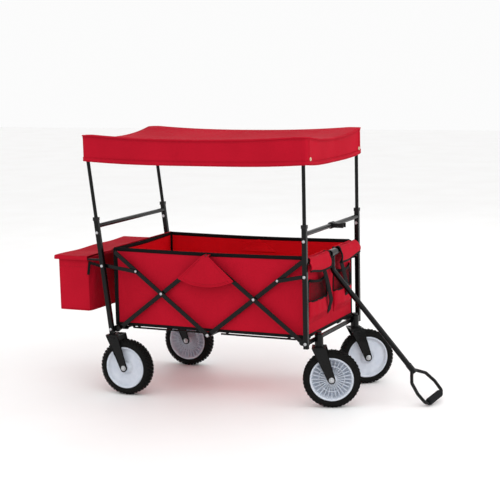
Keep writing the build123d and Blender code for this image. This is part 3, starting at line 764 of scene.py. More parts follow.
def stitches(name: str, runs: Sequence[Sequence], pitch: float = 0.0055, length: float = 0.0036,
             width: float = 0.0009, wear: Wear = Wear.THREAD) -> bpy.types.Object:
    """Rows of lockstitch along seams.

    Args:
        name: the piece's name.
        runs: each a list of points along one row.
        pitch: from one stitch to the next; 3 mm stitches are drawn at 5.5 mm so that they show.
        length: of a stitch.
        width: of the thread.
        wear: the thread's finish.

    Returns:
        The stitches as one mesh.
    """
    points, edges = [], []
    for run in runs:
        start = len(points)
        points += run
        edges += [(start + i, start + i + 1) for i in range(len(run) - 1)]
    pattern = Pattern(name + " tree", {"Pitch": pitch, "Length": length, "Width": width}, wear)
    line = pattern.add("GeometryNodeMeshToCurve", {}, {0: pattern.given["Geometry"]})
    marks = pattern.add("GeometryNodeCurveToPoints", {"mode": "LENGTH"},
                        {"Curve": line.outputs[0], "Length": pattern.given["Pitch"]})
    thread = pattern.add("GeometryNodeMeshIcoSphere", {"Subdivisions": 1, "Radius": 0.5})
    size = pattern.add("ShaderNodeCombineXYZ", {}, {0: pattern.given["Width"],
                                                    1: pattern.given["Width"],
                                                    2: pattern.given["Length"]})
    row = pattern.add("GeometryNodeInstanceOnPoints", {},
                      {"Points": marks.outputs["Points"], "Instance": thread.outputs["Mesh"],
                       "Rotation": marks.outputs["Rotation"], "Scale": size.outputs[0]})
    return pattern.run(dots(name, points, edges), row.outputs[0])


def net(name: str, surface: bpy.types.Object, strand: float = 0.0006) -> bpy.types.Object:
    """Knotless net whose strands follow the edges of a surface.

    Args:
        name: the piece's name.
        surface: a grid whose cells are the net's holes.
        strand: radius of a strand.

    Returns:
        The net as one mesh.
    """
    surface.name = name
    pattern = Pattern(name + " tree", {"Strand": strand}, Wear.NET)
    line = pattern.add("GeometryNodeMeshToCurve", {}, {0: pattern.given["Geometry"]})
    round_ = pattern.add("GeometryNodeCurvePrimitiveCircle", {"Resolution": 3},
                         {"Radius": pattern.given["Strand"]})
    cords = pattern.add("GeometryNodeCurveToMesh", {}, {0: line.outputs[0], 1: round_.outputs[0]})
    return pattern.run(surface, cords.outputs[0])


def ring_of_blocks(name: str, count: int, radius: float, size: Point, rows: Sequence[tuple],
                   wear: Wear, taper: float = 0.72) -> bpy.types.Object:
    """Blocks with sloping flanks set round the Y axis, pointing outwards.

    Args:
        name: the piece's name.
        count: blocks in a ring.
        radius: from the axis to a block's outer end.
        size: a block's size along Y, round the ring and outwards.
        rows: an offset along Y and a turn in radians for each ring.
        wear: the blocks' finish.
        taper: top of a block as a share of its base.

    Returns:
        The blocks as one mesh about the origin.
    """
    pattern = Pattern(name + " tree", {"Count": count, "Radius": radius, "Along": size[0],
                                       "Around": size[1], "Outwards": size[2]}, wear)
    given = pattern.given
    circle = pattern.add("GeometryNodeMeshCircle", {}, {"Vertices": given["Count"],
                                                        "Radius": given["Radius"]})
    block = pattern.add("GeometryNodeMeshCone",
                        {"Vertices": 4, "Radius Top": taper * math.sqrt(0.5),
                         "Radius Bottom": math.sqrt(0.5), "Depth": 1.0})
    square = pattern.add("GeometryNodeTransform", {"Translation": (0, 0, -1.0),
                                                   "Rotation": (0, 0, math.pi / 4)},
                         {"Geometry": block.outputs["Mesh"]})
    place = pattern.add("GeometryNodeInputPosition")
    split = pattern.add("ShaderNodeSeparateXYZ", {}, {0: place.outputs[0]})
    angle = pattern.add("ShaderNodeMath", {"operation": "ARCTAN2"},
                        {0: split.outputs[1], 1: split.outputs[0]})
    turn = pattern.add("ShaderNodeCombineXYZ", {1: math.pi / 2}, {2: angle.outputs[0]})
    scale = pattern.add("ShaderNodeCombineXYZ", {}, {0: given["Along"], 1: given["Around"],
                                                     2: given["Outwards"]})
    ring = pattern.add("GeometryNodeInstanceOnPoints", {},
                       {"Points": circle.outputs["Mesh"], "Instance": square.outputs[0],
                        "Rotation": turn.outputs[0], "Scale": scale.outputs[0]})
    gather = pattern.add("GeometryNodeJoinGeometry")
    for offset, stagger in rows:
        moved = pattern.add("GeometryNodeTransform", {"Translation": (0, 0, offset),
                                                      "Rotation": (0, 0, stagger)},
                            {"Geometry": ring.outputs[0]})
        pattern.tree.links.new(moved.outputs[0], gather.inputs[0])
    lying = pattern.add("GeometryNodeTransform", {"Rotation": (math.pi / 2, 0, 0)},
                        {"Geometry": gather.outputs[0]})
    return pattern.run(dots(name, [(0, 0, 0)]), lying.outputs[0])


def turned(name: str, profile: Sequence[tuple[float, float]], steps: int = 96,
           closed: bool = True) -> bpy.types.Object:
    """Spin an outline of radius and Y about the Y axis.

    Args:
        name: the piece's name.
        profile: pairs of radius and Y.
        steps: faces round the axis.
        closed: whether the outline's last point joins its first.

    Returns:
        The turned shape about the origin.
    """
    points, faces, count = [], [], len(profile)
    for i in range(steps):
        angle = 2 * math.pi * i / steps
        points += [(r * math.cos(angle), y, r * math.sin(angle)) for r, y in profile]
    for i in range(steps):
        low, high = i * count, (i + 1) % steps * count
        for k in range(count if closed else count - 1):
            nxt = (k + 1) % count
            faces.append((low + k, low + nxt, high + nxt, high + k))
    return new_object(name, points, faces)


# ------------------------------------------------------------------ wheels ----
class DiscFace(Enum):
    """Which side of a wheel's disc shows its moulded ribs."""

    RIBS_NEAR = -1
    RIBS_FAR = 1


@dataclass
class Wheel:
    """One 8 inch wheel: a knobbly foam tyre on a milky ribbed disc, with its domed bolt."""

    end: str
    side: str
    ribs: DiscFace
    yaw: float
    lugs: int = 44
    rib_count: int = 28
    tread: float = 0.0042
    tyre_half: float = 0.024

    def __post_init__(self) -> None:
        """Read the wheel's place from its CAD nodes."""
        self.key = f"{self.end}_{{}}_{self.side}"
        low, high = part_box(self.key.format("tyre"))
        self.middle = (low + high) / 2
        self.radius = (high.z - low.z) / 2
        low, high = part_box(self.key.format("disc"))
        self.rim = (high.z - low.z) / 2
        self.body = f"{self.end}_wheel_{self.side}"
        self.carrier = "rear_frame" if self.end == "rear" else f"caster_{self.side}"

    def seat(self, obj: bpy.types.Object) -> bpy.types.Object:
        """Turn a piece made about the origin to the wheel's yaw and move it to the hub."""
        obj.data.transform(Matrix.Translation(self.middle) @ Matrix.Rotation(self.yaw, 4, "Z"))
        return obj

    def build(self) -> None:
        """Build and dress the tyre, the disc and the bolt heads."""
        self.build_tyre()
        self.build_disc()
        self.build_bolts()

    def build_tyre(self) -> None:
        """Build the tyre: a rounded carcass with three rows of tread blocks and side lugs."""
        half, rim, crown = self.tyre_half, self.rim, self.radius - self.tread
        outline = [(rim, -half + 0.005), (rim + 0.002, -half + 0.0015), (rim + 0.006, -half),
                   (crown - 0.013, -half), (crown - 0.006, -half + 0.002),
                   (crown - 0.002, -half + 0.006), (crown, -half + 0.012), (crown, half - 0.012),
                   (crown - 0.002, half - 0.006), (crown - 0.006, half - 0.002),
                   (crown - 0.013, half), (rim + 0.006, half), (rim + 0.002, half - 0.0015),
                   (rim, half - 0.005)]
        carcass = turned("carcass", outline, 120)
        dress(carcass, Wear.TYRE)
        step = math.pi / self.lugs
        tread = ring_of_blocks("tread", self.lugs, self.radius,
                               (0.0085, 0.0085, self.tread + 0.001),
                               [(-0.0115, 0.0), (0.0, step), (0.0115, 0.0)], Wear.TYRE)
        flank = ring_of_blocks("flank", self.lugs, self.radius - 0.0028,
                               (0.006, 0.0075, self.tread + 0.004),
                               [(-0.0195, step), (0.0195, step)], Wear.TYRE, 0.6)
        tyre = joined(self.key.format("treaded_tyre"), [carcass, tread, flank])
        self.seat(tyre)
        finish_piece(tyre, Wear.TYRE, self.body, smooth=False)
        carcass_faces = 120 * len(outline)
        tyre.data.polygons.foreach_set(
            "use_smooth", [i < carcass_faces for i in range(len(tyre.data.polygons))])
        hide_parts(self.key.format("tyre"))

    def build_disc(self) -> None:
        """Build the disc: rim, dished web, hub and radial ribs on one face."""
        rim, half, side = self.rim, self.tyre_half - 0.002, self.ribs.value
        web = -side * 0.009
        outline = [(0.0046, -0.021), (0.015, -0.021), (0.0165, -0.0195), (0.0175, web - 0.003),
                   (0.03, web - 0.0035), (rim - 0.016, web - 0.0025), (rim - 0.0075, -0.0105),
                   (rim - 0.005, -half + 0.001), (rim - 0.003, -half), (rim, -half + 0.0015),
                   (rim, half - 0.0015), (rim - 0.003, half), (rim - 0.005, half - 0.001),
                   (rim - 0.0075, 0.0105), (rim - 0.016, web + 0.0025), (0.03, web + 0.0015),
                   (0.0175, web + 0.003), (0.0165, 0.0195), (0.015, 0.021), (0.0046, 0.021)]
        disc = turned("disc", outline, 128)
        dress(disc, Wear.WHEEL)
        inner, outer = 0.0165, rim - 0.006
        ribs = ring_of_blocks("ribs", self.rib_count, outer, (0.008, 0.0022, outer - inner),
                              [(-side * 0.0085, 0.0)], Wear.WHEEL, 1.0)
        collars = turned("collars", [(0.043, side * 0.002), (0.0442, side * 0.013),
                                     (0.0456, side * 0.013), (0.0466, side * 0.002)], 96)
        dress(collars, Wear.WHEEL)
        smooth_side = turned("ring", [(0.024, -side * 0.0105), (0.025, -side * 0.0138),
                                      (0.027, -side * 0.0138), (0.028, -side * 0.0105)], 96)
        dress(smooth_side, Wear.WHEEL)
        whole = joined(self.key.format("ribbed_disc"), [disc, ribs, collars, smooth_side])
        self.seat(whole)
        finish_piece(whole, Wear.WHEEL, self.body, smooth=False)
        count = 128 * len(outline)
        whole.data.polygons.foreach_set(
            "use_smooth", [i < count for i in range(len(whole.data.polygons))])
        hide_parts(self.key.format("disc"))

    def build_bolts(self) -> None:
        """Dome the axle's head and nut, and add a washer under each."""
        heads = rivet_domes(self.key.format("axle_domes"), [(0, y, 0) for y in (-0.0348, 0.0348)],
                            0.0068, 0.0038)
        washers = [turned("washer", [(0.0042, y), (0.0095, y), (0.0098, y * 1.02),
                                     (0.0095, y * 1.04), (0.0042, y * 1.04)], 32)
                   for y in (-0.0311, 0.0311)]
        for washer in washers:
            dress(washer, Wear.ZINC)
        whole = joined(self.key.format("axle_domes"), [heads, *washers])
        finish_piece(self.seat(whole), Wear.ZINC, self.carrier)


@dataclass
class ForkTrim:
    """The pressed details of one fork: folded stiffening lips, crown slots and crown ribs."""

    end: str
    side: str
    yaw: float
    leg_y: float = 0.0312

    def build(self) -> None:
        """Build and dress the fork's pressings."""
        low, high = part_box(f"{self.end}_tyre_{self.side}")
        hub = (low + high) / 2
        node = f"rear_fork_{self.side}" if self.end == "rear" else f"caster_fork_{self.side}"
        body = "rear_frame" if self.end == "rear" else f"caster_{self.side}"
        back = -0.045 if self.end == "rear" else -0.043
        top = (0.222 if self.end == "rear" else 0.216) - hub.z
        pieces = []
        for sign in (-1, 1):
            for edge in (-1, 1):
                path = []
                for i in range(13):
                    t = i / 12
                    reach = 0.0120 + (0.0235 - 0.0120) * t
                    path.append((back * t + edge * reach, sign * self.leg_y, (top - 0.003) * t))
                pieces.append(tape("lip", path, SIDEWAYS, 0.0035, 0.002))
            slot = [(back - 0.011 + 0.022 * i / 6, sign * (self.leg_y + 0.0006), top - 0.011)
                    for i in range(7)]
            pieces.append(tape("slot", slot, UP, 0.0055, 0.0022))
        for i in (-1, 1):
            rib = [(back - 0.019 + 0.038 * k / 6, i * 0.016, top + 0.0006) for k in range(7)]
            pieces.append(tape("rib", rib, SIDEWAYS, 0.006, 0.0024))
        trim = joined(node + "_pressings", pieces)
        trim.data.transform(Matrix.Translation(hub) @ Matrix.Rotation(self.yaw, 4, "Z"))
        finish_piece(trim, Wear.STEEL, body)


# --------------------------------------------------------------------- tub ----
@dataclass
class Tub:
    """The red fabric tub: side walls, end walls, bound edges and floor."""

    cloth: float = 0.0022
    binding: float = 0.0135
    bulge: float = 0.004
    fold_keep: float = 0.3415
    reach_back: float = 0.012
    rail_drop: float = 0.0135

    def __post_init__(self) -> None:
        """Read the tub's place from its CAD nodes."""
        self.side_low, self.side_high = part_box("tub_side_near")
        self.rear_low, self.rear_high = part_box("tub_rear_panel")
        self.side_low.x -= self.reach_back
        self.rear_low.x -= self.reach_back
        self.rear_high.x -= self.reach_back
        foot_low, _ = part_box("foot_bars_rear")
        self.anchor = (foot_low.x + 0.008, 0.0, 0.0)
        self.middle_hub = middle_x("hub_rod")
        self.top = self.side_high.z
        self.bottom = self.side_low.z
        self.half = -self.side_low.y

    def crumple(self, obj: bpy.types.Object) -> bpy.types.Object:
        """Give a cloth piece its own copy of its mesh."""
        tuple(self.anchor)
        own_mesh(obj)
        return obj

    def build(self) -> None:
        """Build and dress every piece of the tub."""
        for name, sign in SIDES:
            self.build_side(name, sign)
            self.build_side_edges(name, sign)
            self.build_fan(name, sign)
            self.build_inner_patch(name, sign)
        self.build_rear()
        self.build_floor()

    def wall(self, sign: int, u: float, v: float) -> Point:
        """A point on a side wall: it hangs slack, with soft vertical creases near its ends.

        Args:
            sign: -1 on the near side, 1 on the far side.
            u: 0 to 1 along the first direction.
            v: 0 to 1 along the second direction.

        Returns:
            The point in metres.
        """
        x = self.side_low.x + (self.side_high.x - self.side_low.x) * u
        z = self.bottom + (self.top - self.bottom) * v
        slack = math.sin(math.pi * v) * math.sin(math.pi * u)
        edge = math.exp(-((min(u, 1 - u) - 0.045) / 0.03) ** 2) * math.sin(math.pi * v)
        crease = 0.0012 * math.sin(31 * u + 5 * v) * math.sin(math.pi * v) * (0.3 + abs(2 * u - 1))
        dip = 0.004 * math.sin(math.pi * u) * smoothstep((v - 0.8) / 0.2)
        y = self.half - self.cloth / 2 - 0.0006 + self.bulge * slack - 0.003 * edge + crease
        return (x, sign * y, z - dip)

    def build_side(self, name: str, sign: int) -> None:
        """Build one side wall.

        Args:
            name: near or far.
            sign: -1 on the near side, 1 on the far side.
        """
        length, height = self.side_high.x - self.side_low.x, self.top - self.bottom
        side = sheet_grid(f"tub_wall_{name}", 96, 40, lambda u, v: self.wall(sign, u, v),
                          (length, height))
        side = thicken(side, self.cloth)
        line_inside(side, lambda normal: normal.y * sign < 0)
        finish_piece(side, Wear.RED, "rear_frame")
        self.crumple(side)
        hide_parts(f"tub_side_{name}")

    def build_side_edges(self, name: str, sign: int) -> None:
        """Bind a side wall's top, bottom and ends in black tape, and stitch the tape.

        Args:
            name: near or far.
            sign: -1 on the near side, 1 on the far side.
        """
        steps, out = 64, 0.0006
        top = [self.wall(sign, i / steps, 1.0) for i in range(steps + 1)]
        low = [self.wall(sign, i / steps, 0.0) for i in range(steps + 1)]
        bands = [tape("top", [(x, y, z - 0.003) for x, y, z in top], UP,
                      self.binding, 0.0056),
                 tape("low", [(x, y, z + 0.005) for x, y, z in low], UP,
                      self.binding * 0.85, 0.005)]
        for u in (0.004, 0.996):
            post = [self.wall(sign, u, 0.02 + 0.96 * i / 24) for i in range(25)]
            bands.append(tape("end", post, ALONG, 0.011, 0.005))
        edges = joined(f"tub_binding_{name}", bands)
        finish_piece(edges, Wear.TAPE, "rear_frame")
        self.crumple(edges)
        rows = []
        for share, line in ((-0.0085, top), (0.0095, low)):
            rows.append([(x, y + sign * (0.0029 + out), z + share) for x, y, z in line[3:-3]])
        sewn = stitches(f"tub_binding_stitches_{name}", rows, wear=Wear.TAPE)
        finish_piece(sewn, Wear.TAPE, "rear_frame", normals=False)
        self.crumple(sewn)

    def build_fan(self, name: str, sign: int) -> None:
        """Build the fan-shaped flap that covers the scissor's upper hub.

        Args:
            name: near or far.
            sign: -1 on the near side, 1 on the far side.
        """
        apex_z, foot, deep, outer = self.top - 0.0065, 0.108, 0.087, 0.2474

        def place(u: float, v: float) -> Point:
            """A point of the fan, u round it and v down it.

            Args:
                u: 0 to 1 along the first direction.
                v: 0 to 1 along the second direction.

            Returns:
                The point in metres.
            """
            w = 2 * u - 1
            x = self.middle_hub + w * (0.007 + (foot - 0.007) * v)
            z = apex_z - v * (deep + 0.024 * (1 - w * w))
            lift = smoothstep(v / 0.045)
            billow = 0.004 * math.sin(math.pi * v) * (1 - w * w)
            y = self.half + (outer - self.half) * lift + billow
            ripple = 0.0012 * math.sin(9 * w) * v
            return (x, sign * (y + ripple), z)

        fan = sheet_grid(f"hub_fan_{name}", 40, 28, place, (2 * foot, deep))
        rim = [place(0.0, i / 24) for i in range(25)] + [place(i / 40, 1.0) for i in range(41)]
        rim += [place(1.0, 1 - i / 24) for i in range(25)]
        piping = tape("piping", rim, SIDEWAYS, 0.0042, 0.0042)
        dress(piping, Wear.RED)
        fan = thicken(fan, 0.0018)
        dress(fan, Wear.RED)
        whole = joined(f"hub_fan_{name}", [fan, piping])
        finish_piece(whole, Wear.RED, "rear_frame")
        self.crumple(whole)
        rows = [[place(0.06, i / 20) for i in range(3, 20)],
                [place(0.94, i / 20) for i in range(3, 20)],
                [place(i / 30, 0.93) for i in range(2, 29)]]
        raised = [[(x, y + sign * 0.0016, z) for x, y, z in row] for row in rows]
        sewn = stitches(f"hub_fan_stitches_{name}", raised)
        finish_piece(sewn, Wear.THREAD, "rear_frame", normals=False)
        self.crumple(sewn)

    def build_inner_patch(self, name: str, sign: int) -> None:
        """Build the triangular patch sewn inside a side wall behind the hub.

        Args:
            name: near or far.
            sign: -1 on the near side, 1 on the far side.
        """
        def place(u: float, v: float) -> Point:
            """A point of the patch, u round it and v down it.

            Args:
                u: 0 to 1 along the first direction.
                v: 0 to 1 along the second direction.

            Returns:
                The point in metres.
            """
            w = 2 * u - 1
            x = self.middle_hub + w * (0.004 + 0.072 * v)
            return (x, sign * (self.half - 0.0045 + 0.002 * math.sin(math.pi * v)),
                    self.top - 0.012 - 0.048 * v)

        patch = sheet_grid(f"hub_patch_{name}", 20, 12, place, (0.15, 0.05))
        patch = thicken(patch, 0.0016)
        # The patch wears the lining, whose brighter colour is partly painted light for the tub's
        # shaded inside.
        finish_piece(patch, Wear.LINING_WITH_PAINTED_LIGHT, "rear_frame")
        self.crumple(patch)

    def build_rear(self) -> None:
        """Build the rear wall with its bound edges and corner seams."""
        low, high = self.rear_low, self.rear_high
        wide, tall = high.y - low.y, high.z - low.z

        def place(u: float, v: float) -> Point:
            """A point of the rear wall; it bows back a little and dips along its top.

            Args:
                u: 0 to 1 along the first direction.
                v: 0 to 1 along the second direction.

            Returns:
                The point in metres.
            """
            y = low.y + wide * u
            z = low.z + tall * v
            bow = 0.003 * math.sin(math.pi * u) * math.sin(math.pi * v)
            dip = 0.005 * math.sin(math.pi * u) * smoothstep((v - 0.8) / 0.2)
            return ((low.x + high.x) / 2 - bow, y, z - dip)

        rear = thicken(sheet_grid("tub_wall_rear", 48, 32, place, (wide, tall)), self.cloth)
        line_inside(rear, lambda normal: normal.x > 0)
        finish_piece(rear, Wear.RED, "rear_frame")
        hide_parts("tub_rear_panel")
        edge = [place(i / 40, 1.0) for i in range(41)]
        bands = [tape("top", [(x, y, z - 0.003) for x, y, z in edge],
                      UP, self.binding, 0.0056),
                 tape("low", [place(i / 40, 0.02) for i in range(41)], UP,
                      self.binding * 0.85, 0.005)]
        for u in (0.0, 1.0):
            bands.append(tape("corner", [place(u, i / 24) for i in range(25)],
                              ALONG, 0.0085, 0.0085))
        finish_piece(joined("tub_binding_rear", bands), Wear.TAPE, "rear_frame")

    def build_floor(self) -> None:
        """Build the padded floor boards and the cloth that joins them."""
        for end, sign in (("rear", -1), ("front", 1)):
            low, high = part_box(f"floor_board_{end}")

            def place(u: float, v: float) -> Point:
                """A point of the mat's upper face, crowned and quilted.

                Args:
                    u: 0 to 1 along the first direction.
                    v: 0 to 1 along the second direction.

                Returns:
                    The point in metres.
                """
                x = low.x + (high.x - low.x) * u
                y = low.y + (high.y - low.y) * v
                rim = min(u, 1 - u) * (high.x - low.x), min(v, 1 - v) * (high.y - low.y)
                crown = smoothstep(min(rim) / 0.014)
                seam = abs(math.sin(3 * math.pi * v))
                z = low.z + 0.0012 + (0.0022 + 0.0014 * seam ** 0.5) * crown
                return (x, y, z)

            wide, tall = high.x - low.x, high.y - low.y
            mat = sheet_grid(f"floor_mat_{end}", 48, 64, place, (wide, tall))
            mat = thicken(mat, 0.0012, -1)
            # The mat wears the lining, whose brighter colour is partly painted light for the tub's
            # shaded inside.
            finish_piece(mat, Wear.LINING_WITH_PAINTED_LIGHT, f"floor_{end}")
            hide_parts(f"floor_board_{end}")
            rim = [(low.x + 0.005, low.y + 0.005), (high.x - 0.005, low.y + 0.005),
                   (high.x - 0.005, high.y - 0.005), (low.x + 0.005, high.y - 0.005)]
            bands = []
            for k in range(4):
                (x0, y0), (x1, y1) = rim[k], rim[(k + 1) % 4]
                path = [(x0 + (x1 - x0) * i / 16, y0 + (y1 - y0) * i / 16, low.z + 0.0022)
                        for i in range(17)]
                bands.append(tape("edge", path, UP, 0.0044, 0.009))
            finish_piece(joined(f"floor_mat_edge_{end}", bands), Wear.TAPE, f"floor_{end}")
        for end in ("rear", "front"):
            low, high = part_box(f"floor_board_{end}")
            rails = []
            for sign in (-1, 1):
                path = [(low.x + 0.012 + (high.x - low.x - 0.024) * i / 12, sign * 0.202,
                         low.z - self.rail_drop) for i in range(13)]
                rails.append(tape("rail", path, UP, 0.006, 0.006))
                for x, _, z in (path[1], path[-2]):
                    tab = [(x, sign * 0.202, z + self.rail_drop * i / 4) for i in range(5)]
                    rails.append(tape("tab", tab, ALONG, 0.012, 0.003))
            finish_piece(joined(f"floor_rail_bars_{end}", rails), Wear.STEEL, f"floor_{end}")
        rear_low, rear_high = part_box("floor_board_rear")
        front_low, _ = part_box("floor_board_front")
        gap = front_low.x - rear_high.x

        def strip(u: float, v: float) -> Point:
            """A point of the joining cloth, which sags between the boards.

            Args:
                u: 0 to 1 along the first direction.
                v: 0 to 1 along the second direction.

            Returns:
                The point in metres.
            """
            x = rear_high.x - 0.004 + (gap + 0.008) * u
            y = rear_low.y + (rear_high.y - rear_low.y) * v
            return (x, y, rear_low.z - 0.001 - 0.008 * math.sin(math.pi * u))

        joint = thicken(sheet_grid("floor_joint", 10, 48, strip, (gap, rear_high.y - rear_low.y)),
                        0.0016)
        # The joint wears the lining, whose brighter colour is partly painted light for the tub's
        # shaded inside.
        finish_piece(joint, Wear.LINING_WITH_PAINTED_LIGHT, "rear_frame")
        self.crumple(joint)


@dataclass
class FrontPanel:
    """The front wall: notch for the handle, two turned-over flaps, net pockets and straps."""

    cloth: float = 0.0022
    notch_half: float = 0.046
    notch_deep: float = 0.05
    pocket_in: float = 0.032
    pocket_out: float = 0.204
    pouch_low: float = 0.300
    pouch_high: float = 0.376
    net_high: float = 0.450

    def __post_init__(self) -> None:
        """Read the panel's place from its CAD node."""
        self.low, self.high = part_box("tub_front_panel")
        self.face = middle_x("front_post_near") - 0.013
        self.tube = Vector((self.face + 0.013, 0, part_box("front_top_tube")[1].z - 0.008))
        self.half = self.high.y

    def keep(self, y: float, z: float) -> bool:
        """Whether the wall has cloth at a point: the notch has none."""
        return not (abs(y) < self.notch_half and z > self.high.z - self.notch_deep)

    def build(self) -> None:
        """Build and dress every piece of the front wall."""
        self.build_wall()
        self.build_bindings()
        for name, sign in SIDES:
            self.build_flap(name, sign)
            self.build_pocket(name, sign)
            self.build_strap(name, sign)

    def wall(self, u: float, v: float) -> Point:
        """A point of the wall's middle surface.

        Args:
            u: 0 to 1 along the first direction.
            v: 0 to 1 along the second direction.

        Returns:
            The point in metres.
        """
        y = -self.half + 2 * self.half * u
        z = self.low.z + (self.high.z - self.low.z) * v
        bow = 0.004 * math.sin(math.pi * v) * math.sin(math.pi * u)
        ripple = 0.0006 * math.sin(17 * u + 3 * v) * math.sin(math.pi * v)
        return (self.face - 0.0007 + 0.2 * bow + ripple, y, z)

    def build_wall(self) -> None:
        """Build the wall with its notch."""
        columns, rows = 76, 46
        tall = self.high.z - self.low.z
        wall = sheet_grid("tub_wall_front", columns, rows, self.wall, (2 * self.half, tall),
                          lambda u, v: self.keep(-self.half + 2 * self.half * u,
                                                 self.low.z + tall * v))
        wall = thicken(wall, self.cloth)
        line_inside(wall, lambda normal: normal.x < 0)
        finish_piece(wall, Wear.RED, "front_frame")
        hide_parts("tub_front_panel")

    def build_bindings(self) -> None:
        """Bind the notch, the bottom and the corners in black tape."""
        x, top = self.face - 0.001, self.high.z
        notch = self.notch_half
        corner, floor = 0.012, top - self.notch_deep
        path = [(x, -notch, top)]
        path += [(x, -notch, top + (floor + corner - top) * i / 8) for i in range(1, 9)]
        for i in range(1, 7):
            turn = math.pi / 2 * i / 6
            path.append((x, -notch + corner * (1 - math.cos(turn)),
                         floor + corner * (1 - math.sin(turn))))
        path += [(x, -notch + corner + 2 * (notch - corner) * i / 8, floor) for i in range(1, 9)]
        for i in range(1, 7):
            turn = math.pi / 2 * i / 6
            path.append((x, notch - corner * (1 - math.sin(turn)),
                         floor + corner * (1 - math.cos(turn))))
        path += [(x, notch, floor + corner + (top - floor - corner) * i / 8) for i in range(1, 9)]
        bands = [tape("notch", path, ALONG, 0.006, 0.011)]
        low = [self.wall(i / 40, 0.02) for i in range(41)]
        bands.append(tape("low", low, UP, 0.012, 0.006))
        for u in (0.0, 1.0):
            bands.append(tape("corner", [self.wall(u, i / 24) for i in range(25)],
                              ALONG, 0.008, 0.008))
        finish_piece(joined("tub_binding_front", bands), Wear.TAPE, "front_frame")

    def build_flap(self, name: str, sign: int) -> None:
        """Build one turned-over flap: over the top tube's side of the wall and down its front.

        Args:
            name: near or far.
            sign: -1 on the near side, 1 on the far side.
        """
        inner, outer = self.notch_half + 0.007, self.half + 0.008
        turn_radius = 0.0122

        def place(u: float, v: float) -> Point:
            """A point of the flap, u outwards, v from inside the tub over the tube to its hem.

            Args:
                u: 0 to 1 along the first direction.
                v: 0 to 1 along the second direction.

            Returns:
                The point in metres.
            """
            reach = outer + 0.014 * smoothstep((v - 0.4) / 0.12)
            y = inner + (reach - inner) * u
            slack = math.sin(math.pi * u)
            drop = 0.040 - 0.012 * smoothstep((u - 0.3) / 0.7) + 0.004 * slack
            if v < 0.2:
                rise = 0.022 * (1 - v / 0.2)
                return (self.tube.x - turn_radius, sign * y, self.tube.z - rise)
            if v < 0.5:
                turn = math.pi * (v - 0.2) / 0.3
                return (self.tube.x - turn_radius * math.cos(turn), sign * y,
                        self.tube.z + (turn_radius + 0.003 - 0.003 * slack) * math.sin(turn))
            t = (v - 0.5) / 0.5
            flare = 0.005 * math.sin(math.pi * t) + 0.002 * t
            wave = 0.0016 * math.sin(7 * u + 1.0) * t
            return (self.tube.x + turn_radius + flare + wave, sign * y, self.tube.z - drop * t)

        wide = outer - inner
        flap = thicken(sheet_grid(f"front_flap_{name}", 40, 40, place, (wide, 0.085)), 0.0018)
        finish_piece(flap, Wear.RED, "front_frame")
        hem = [place(i / 40, 1.0) for i in range(41)]
        bands = [tape("hem", hem, UP, 0.009, 0.0048)]
        side = [place(0.0, 0.2 + 0.8 * i / 24) for i in range(25)]
        bands.append(tape("side", side, SIDEWAYS, 0.009, 0.0036))
        finish_piece(joined(f"front_flap_hem_{name}", bands), Wear.TAPE, "front_frame")

    def build_pocket(self, name: str, sign: int) -> None:
        """Build one pocket: a gathered red pouch below and a bellied net above.

        Args:
            name: near or far.
            sign: -1 on the near side, 1 on the far side.
        """
        y0, y1 = self.pocket_in, self.pocket_out

        def bulge(u: float, z: float) -> float:
            """How far the pocket stands off the wall.

            Args:
                u: 0 to 1 along the first direction.
                z: height in metres.

            Returns:
                The size in metres.
            """
            rise = smoothstep((z - self.pouch_low) / 0.03)
            shape = math.sin(math.pi * min(1, max(0, u))) ** 0.45
            return 0.002 + 0.0155 * rise * shape

        def pouch(u: float, v: float) -> Point:
            """A point of the pouch.

            Args:
                u: 0 to 1 along the first direction.
                v: 0 to 1 along the second direction.

            Returns:
                The point in metres.
            """
            z = self.pouch_low + (self.pouch_high - self.pouch_low) * v
            y = y0 + (y1 - y0) * u
            fold = 0.0012 * math.sin(21 * u) * v
            return (self.face + bulge(u, z) + fold, sign * y, z)

        wide = y1 - y0
        lower = thicken(sheet_grid(f"pocket_pouch_{name}", 44, 24, pouch, (wide, 0.076)), 0.0018)
        finish_piece(lower, Wear.RED, "front_frame")

        def mesh(u: float, v: float) -> Point:
            """A point of the net; its top edge is gathered in and sags.

            Args:
                u: 0 to 1 along the first direction.
                v: 0 to 1 along the second direction.

            Returns:
                The point in metres.
            """
            pull = 1 - 0.10 * v * v
            y = (y0 + y1) / 2 + (u - 0.5) * wide * pull
            sag = 0.010 * math.sin(math.pi * u) * v
            z = self.pouch_high + (self.net_high - self.pouch_high) * v - sag
            return (self.face + bulge(u, self.pouch_high) * (1 - 0.25 * v), sign * y, z)

        upper = net(f"pocket_net_{name}", sheet_grid("cells", 34, 15, mesh, (wide, 0.074)))
        finish_piece(upper, Wear.NET, "front_frame", normals=False)
        bands = [tape("top", [mesh(i / 32, 1.0) for i in range(33)], UP,
                      0.010, 0.0038),
                 tape("join", [mesh(i / 32, 0.0) for i in range(33)], UP,
                      0.006, 0.0036)]
        for u in (0.0, 1.0):
            path = [mesh(u, 1 - i / 12) for i in range(13)]
            bands.append(tape("side", path, SIDEWAYS, 0.008, 0.0036))
        finish_piece(joined(f"pocket_binding_{name}", bands), Wear.TAPE, "front_frame")

    def build_strap(self, name: str, sign: int) -> None:
        """Build one slanting strap that runs from under a flap to the wall's foot.

        Args:
            name: near or far.
            sign: -1 on the near side, 1 on the far side.
        """
        start = (-0.104, 0.480) if sign < 0 else (0.060, 0.484)
        end = (-0.026, 0.312) if sign < 0 else (0.140, 0.322)
        path = []
        for i in range(25):
            t = i / 24
            hang = 0.022 - 0.013 * smoothstep((t - 0.7) / 0.3) + 0.004 * math.sin(math.pi * t)
            path.append((self.face + hang, start[0] + (end[0] - start[0]) * t,
                         start[1] + (end[1] - start[1]) * t))
        band = tape(f"front_strap_{name}", path, SIDEWAYS, 0.031, 0.0022)
        finish_piece(band, Wear.TAPE, "front_frame")


